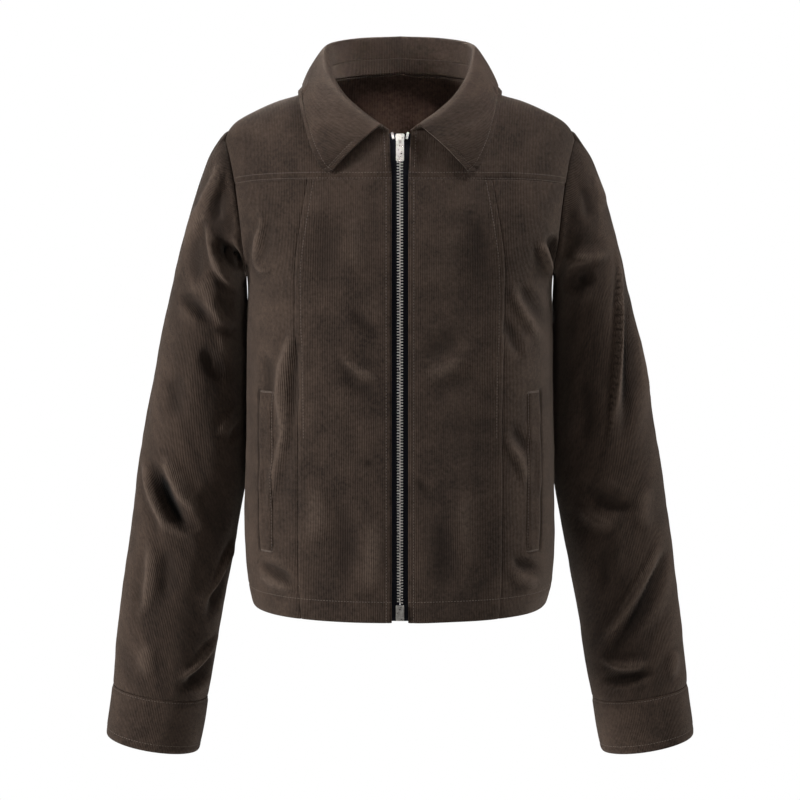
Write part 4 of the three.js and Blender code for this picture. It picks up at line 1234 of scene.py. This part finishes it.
def toothShape():
    bm = bmesh.new()
    bmesh.ops.create_cube(bm, size=1)
    bmesh.ops.scale(bm, vec=[size * mm for size in zipSet["toothSize"]], verts=bm.verts)
    bmesh.ops.bevel(bm, geom=bm.edges[:], offset=0.00028, segments=2, affect="EDGES", profile=0.5,
                    material=-1)
    mesh = bpy.data.meshes.new("toothShape")
    bm.to_mesh(mesh)
    bm.free()
    return mesh


def makeTeeth():
    count = int((zipSet["chainTop"] - zipSet["chainBottom"]) / zipSet["toothPitch"] * 2)
    z = zipSet["chainTop"] - np.arange(count) * zipSet["toothPitch"] / 2
    points, up, out = middleLine(z)
    side = np.where(np.arange(count) % 2 == 0, 1.0, -1.0)[:, None]
    across = np.array([[1.0, 0, 0]])
    spots = points + across * side * 1.25 + out * -0.45
    return manyCopies("zipTeeth", toothShape(), spots, across * side, up, out, [metal])


for side, (tail, nodeTail) in sides.items():
    makeTapePiece(side, "zipTape" + tail, f"zip-tape-{nodeTail}")
teeth = makeTeeth()
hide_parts("zip-chain")

# The metal parts follow their solids, with softened edges.
metalParts = [
    dict(name="zipSlider", node="zip-slider", body="jacket", edge=0.45),
    dict(name="zipPull", node="zip-pull", body="pull", edge=0.3),
    dict(name="zipStopRight", node="zip-stop-right", body="jacket", edge=0.4),
    dict(name="zipStopLeft", node="zip-stop-left", body="jacket", edge=0.4),
    dict(name="zipBox", node="zip-box", body="jacket", edge=0.6),
]
for part in metalParts:
    mesh = nodes[part["node"]].data.copy()
    mesh.name = part["name"]
    mesh.materials.clear()
    bm = bmesh.new()
    bm.from_mesh(mesh)
    bmesh.ops.remove_doubles(bm, verts=bm.verts, dist=1e-5)
    bmesh.ops.dissolve_limit(bm, angle_limit=0.02, verts=bm.verts, edges=bm.edges)
    bmesh.ops.recalc_face_normals(bm, faces=bm.faces)
    bm.to_mesh(mesh)
    bm.free()
    piece = newObject(part["name"], mesh, [metal], part["body"])
    rounding = piece.modifiers.new("edges", "BEVEL")
    rounding.width = part["edge"] * mm
    rounding.segments = 3
    rounding.limit_method = "ANGLE"
    rounding.angle_limit = 0.6
    rounding.harden_normals = False
    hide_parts(part["node"])
print("zip made")

# ---- stitches ----

stitchSet = dict(length=2.3, thick=0.62, sunk=0.05)


def stitchShape():
    bm = bmesh.new()
    bmesh.ops.create_uvsphere(bm, u_segments=6, v_segments=4, radius=1)
    mesh = bpy.data.meshes.new("stitchShape")
    bm.to_mesh(mesh)
    bm.free()
    return mesh


spots = np.concatenate([line[0] for line in stitchLines])
ahead = np.concatenate([line[1] for line in stitchLines])
up = np.concatenate([line[2] for line in stitchLines])
up = up / np.linalg.norm(up, axis=1, keepdims=True)
aside = np.cross(up, ahead)
aside = aside / np.linalg.norm(aside, axis=1, keepdims=True)
half = stitchSet["thick"] / 2 * mm
manyCopies("topStitching", stitchShape(), spots - up * stitchSet["sunk"], aside * half,
           up * half, ahead * stitchSet["length"] / 2 * mm, [thread])
print("stitches made:", len(spots))

# ---- stage, lights and camera ----

floorMaterial, floorTree, floorShader = newMaterial("paleFloor")
grain = addNode(floorTree, "ShaderNodeTexNoise", {"Scale": 3.0}).outputs["Fac"]
floorColour = blendColours(floorTree, grain, (0.80, 0.80, 0.79, 1), (0.84, 0.84, 0.83, 1))
floorTree.links.new(floorColour, floorShader.inputs["Base Color"])
bm = bmesh.new()
bmesh.ops.create_grid(bm, x_segments=1, y_segments=1, size=1.8)
bmesh.ops.translate(bm, vec=(0, 0, -1.6), verts=bm.verts)
floorMesh = bpy.data.meshes.new("floor")
bm.to_mesh(floorMesh)
bm.free()
floorMesh.materials.append(floorMaterial)
floor = bpy.data.objects.new("floor", floorMesh)
bpy.context.scene.collection.objects.link(floor)

world = bpy.data.worlds.new("paleRoom")
bpy.context.scene.world = world
world.use_nodes = True
tree = world.node_tree
tree.nodes.clear()
path = tree.nodes.new("ShaderNodeLightPath")
seen = addNode(tree, "ShaderNodeBackground", {"Color": (1, 1, 1, 1), "Strength": 1.0})
lit = addNode(tree, "ShaderNodeBackground", {"Color": (1, 0.99, 0.97, 1), "Strength": 0.11})
both = tree.nodes.new("ShaderNodeMixShader")
tree.links.new(path.outputs["Is Camera Ray"], both.inputs[0])
tree.links.new(lit.outputs[0], both.inputs[1])
tree.links.new(seen.outputs[0], both.inputs[2])
tree.links.new(both.outputs[0], tree.nodes.new("ShaderNodeOutputWorld").inputs["Surface"])

# name, place, height it points at, size, watts, spread in degrees
lamps = [
    ("keyLight", (-3.0, -1.05, 0.45), -0.35, 0.6, 158, 180),
    ("frontFill", (0.9, -3.1, 0.2), -0.35, 1.0, 11, 180),
    ("topLight", (1.5, -0.15, 1.9), -0.35, 0.8, 72, 180),
    ("rightFill", (2.8, -1.2, -0.4), -0.35, 0.9, 11, 180),
    ("neckLight", (0.25, -1.3, 1.15), 0.02, 0.1, 0.11, 12),
    ("backLight", (-0.8, 3.0, 1.2), -0.35, 2.0, 75, 180),
]
for name, spot, aim, size, watts, spread in lamps:
    lamp = bpy.data.lights.new(name, "AREA")
    lamp.size = size
    lamp.energy = watts
    lamp.spread = math.radians(spread)
    lampObject = bpy.data.objects.new(name, lamp)
    lampObject.location = spot
    lampObject.rotation_euler = (Vector((0, 0, aim)) - Vector(spot)).to_track_quat("-Z", "Y").to_euler()
    bpy.context.scene.collection.objects.link(lampObject)

view = bpy.data.cameras.new("frontView")
view.lens = 107.8
view.sensor_width = 36
camera = bpy.data.objects.new("frontView", view)
camera.location = (0, -2.5, -0.06)
camera.rotation_euler = (Vector((0, 0, -0.336)) - camera.location).to_track_quat("-Z", "Y").to_euler()
bpy.context.scene.collection.objects.link(camera)
bpy.context.scene.camera = camera
bpy.context.scene.view_settings.view_transform = "Standard"
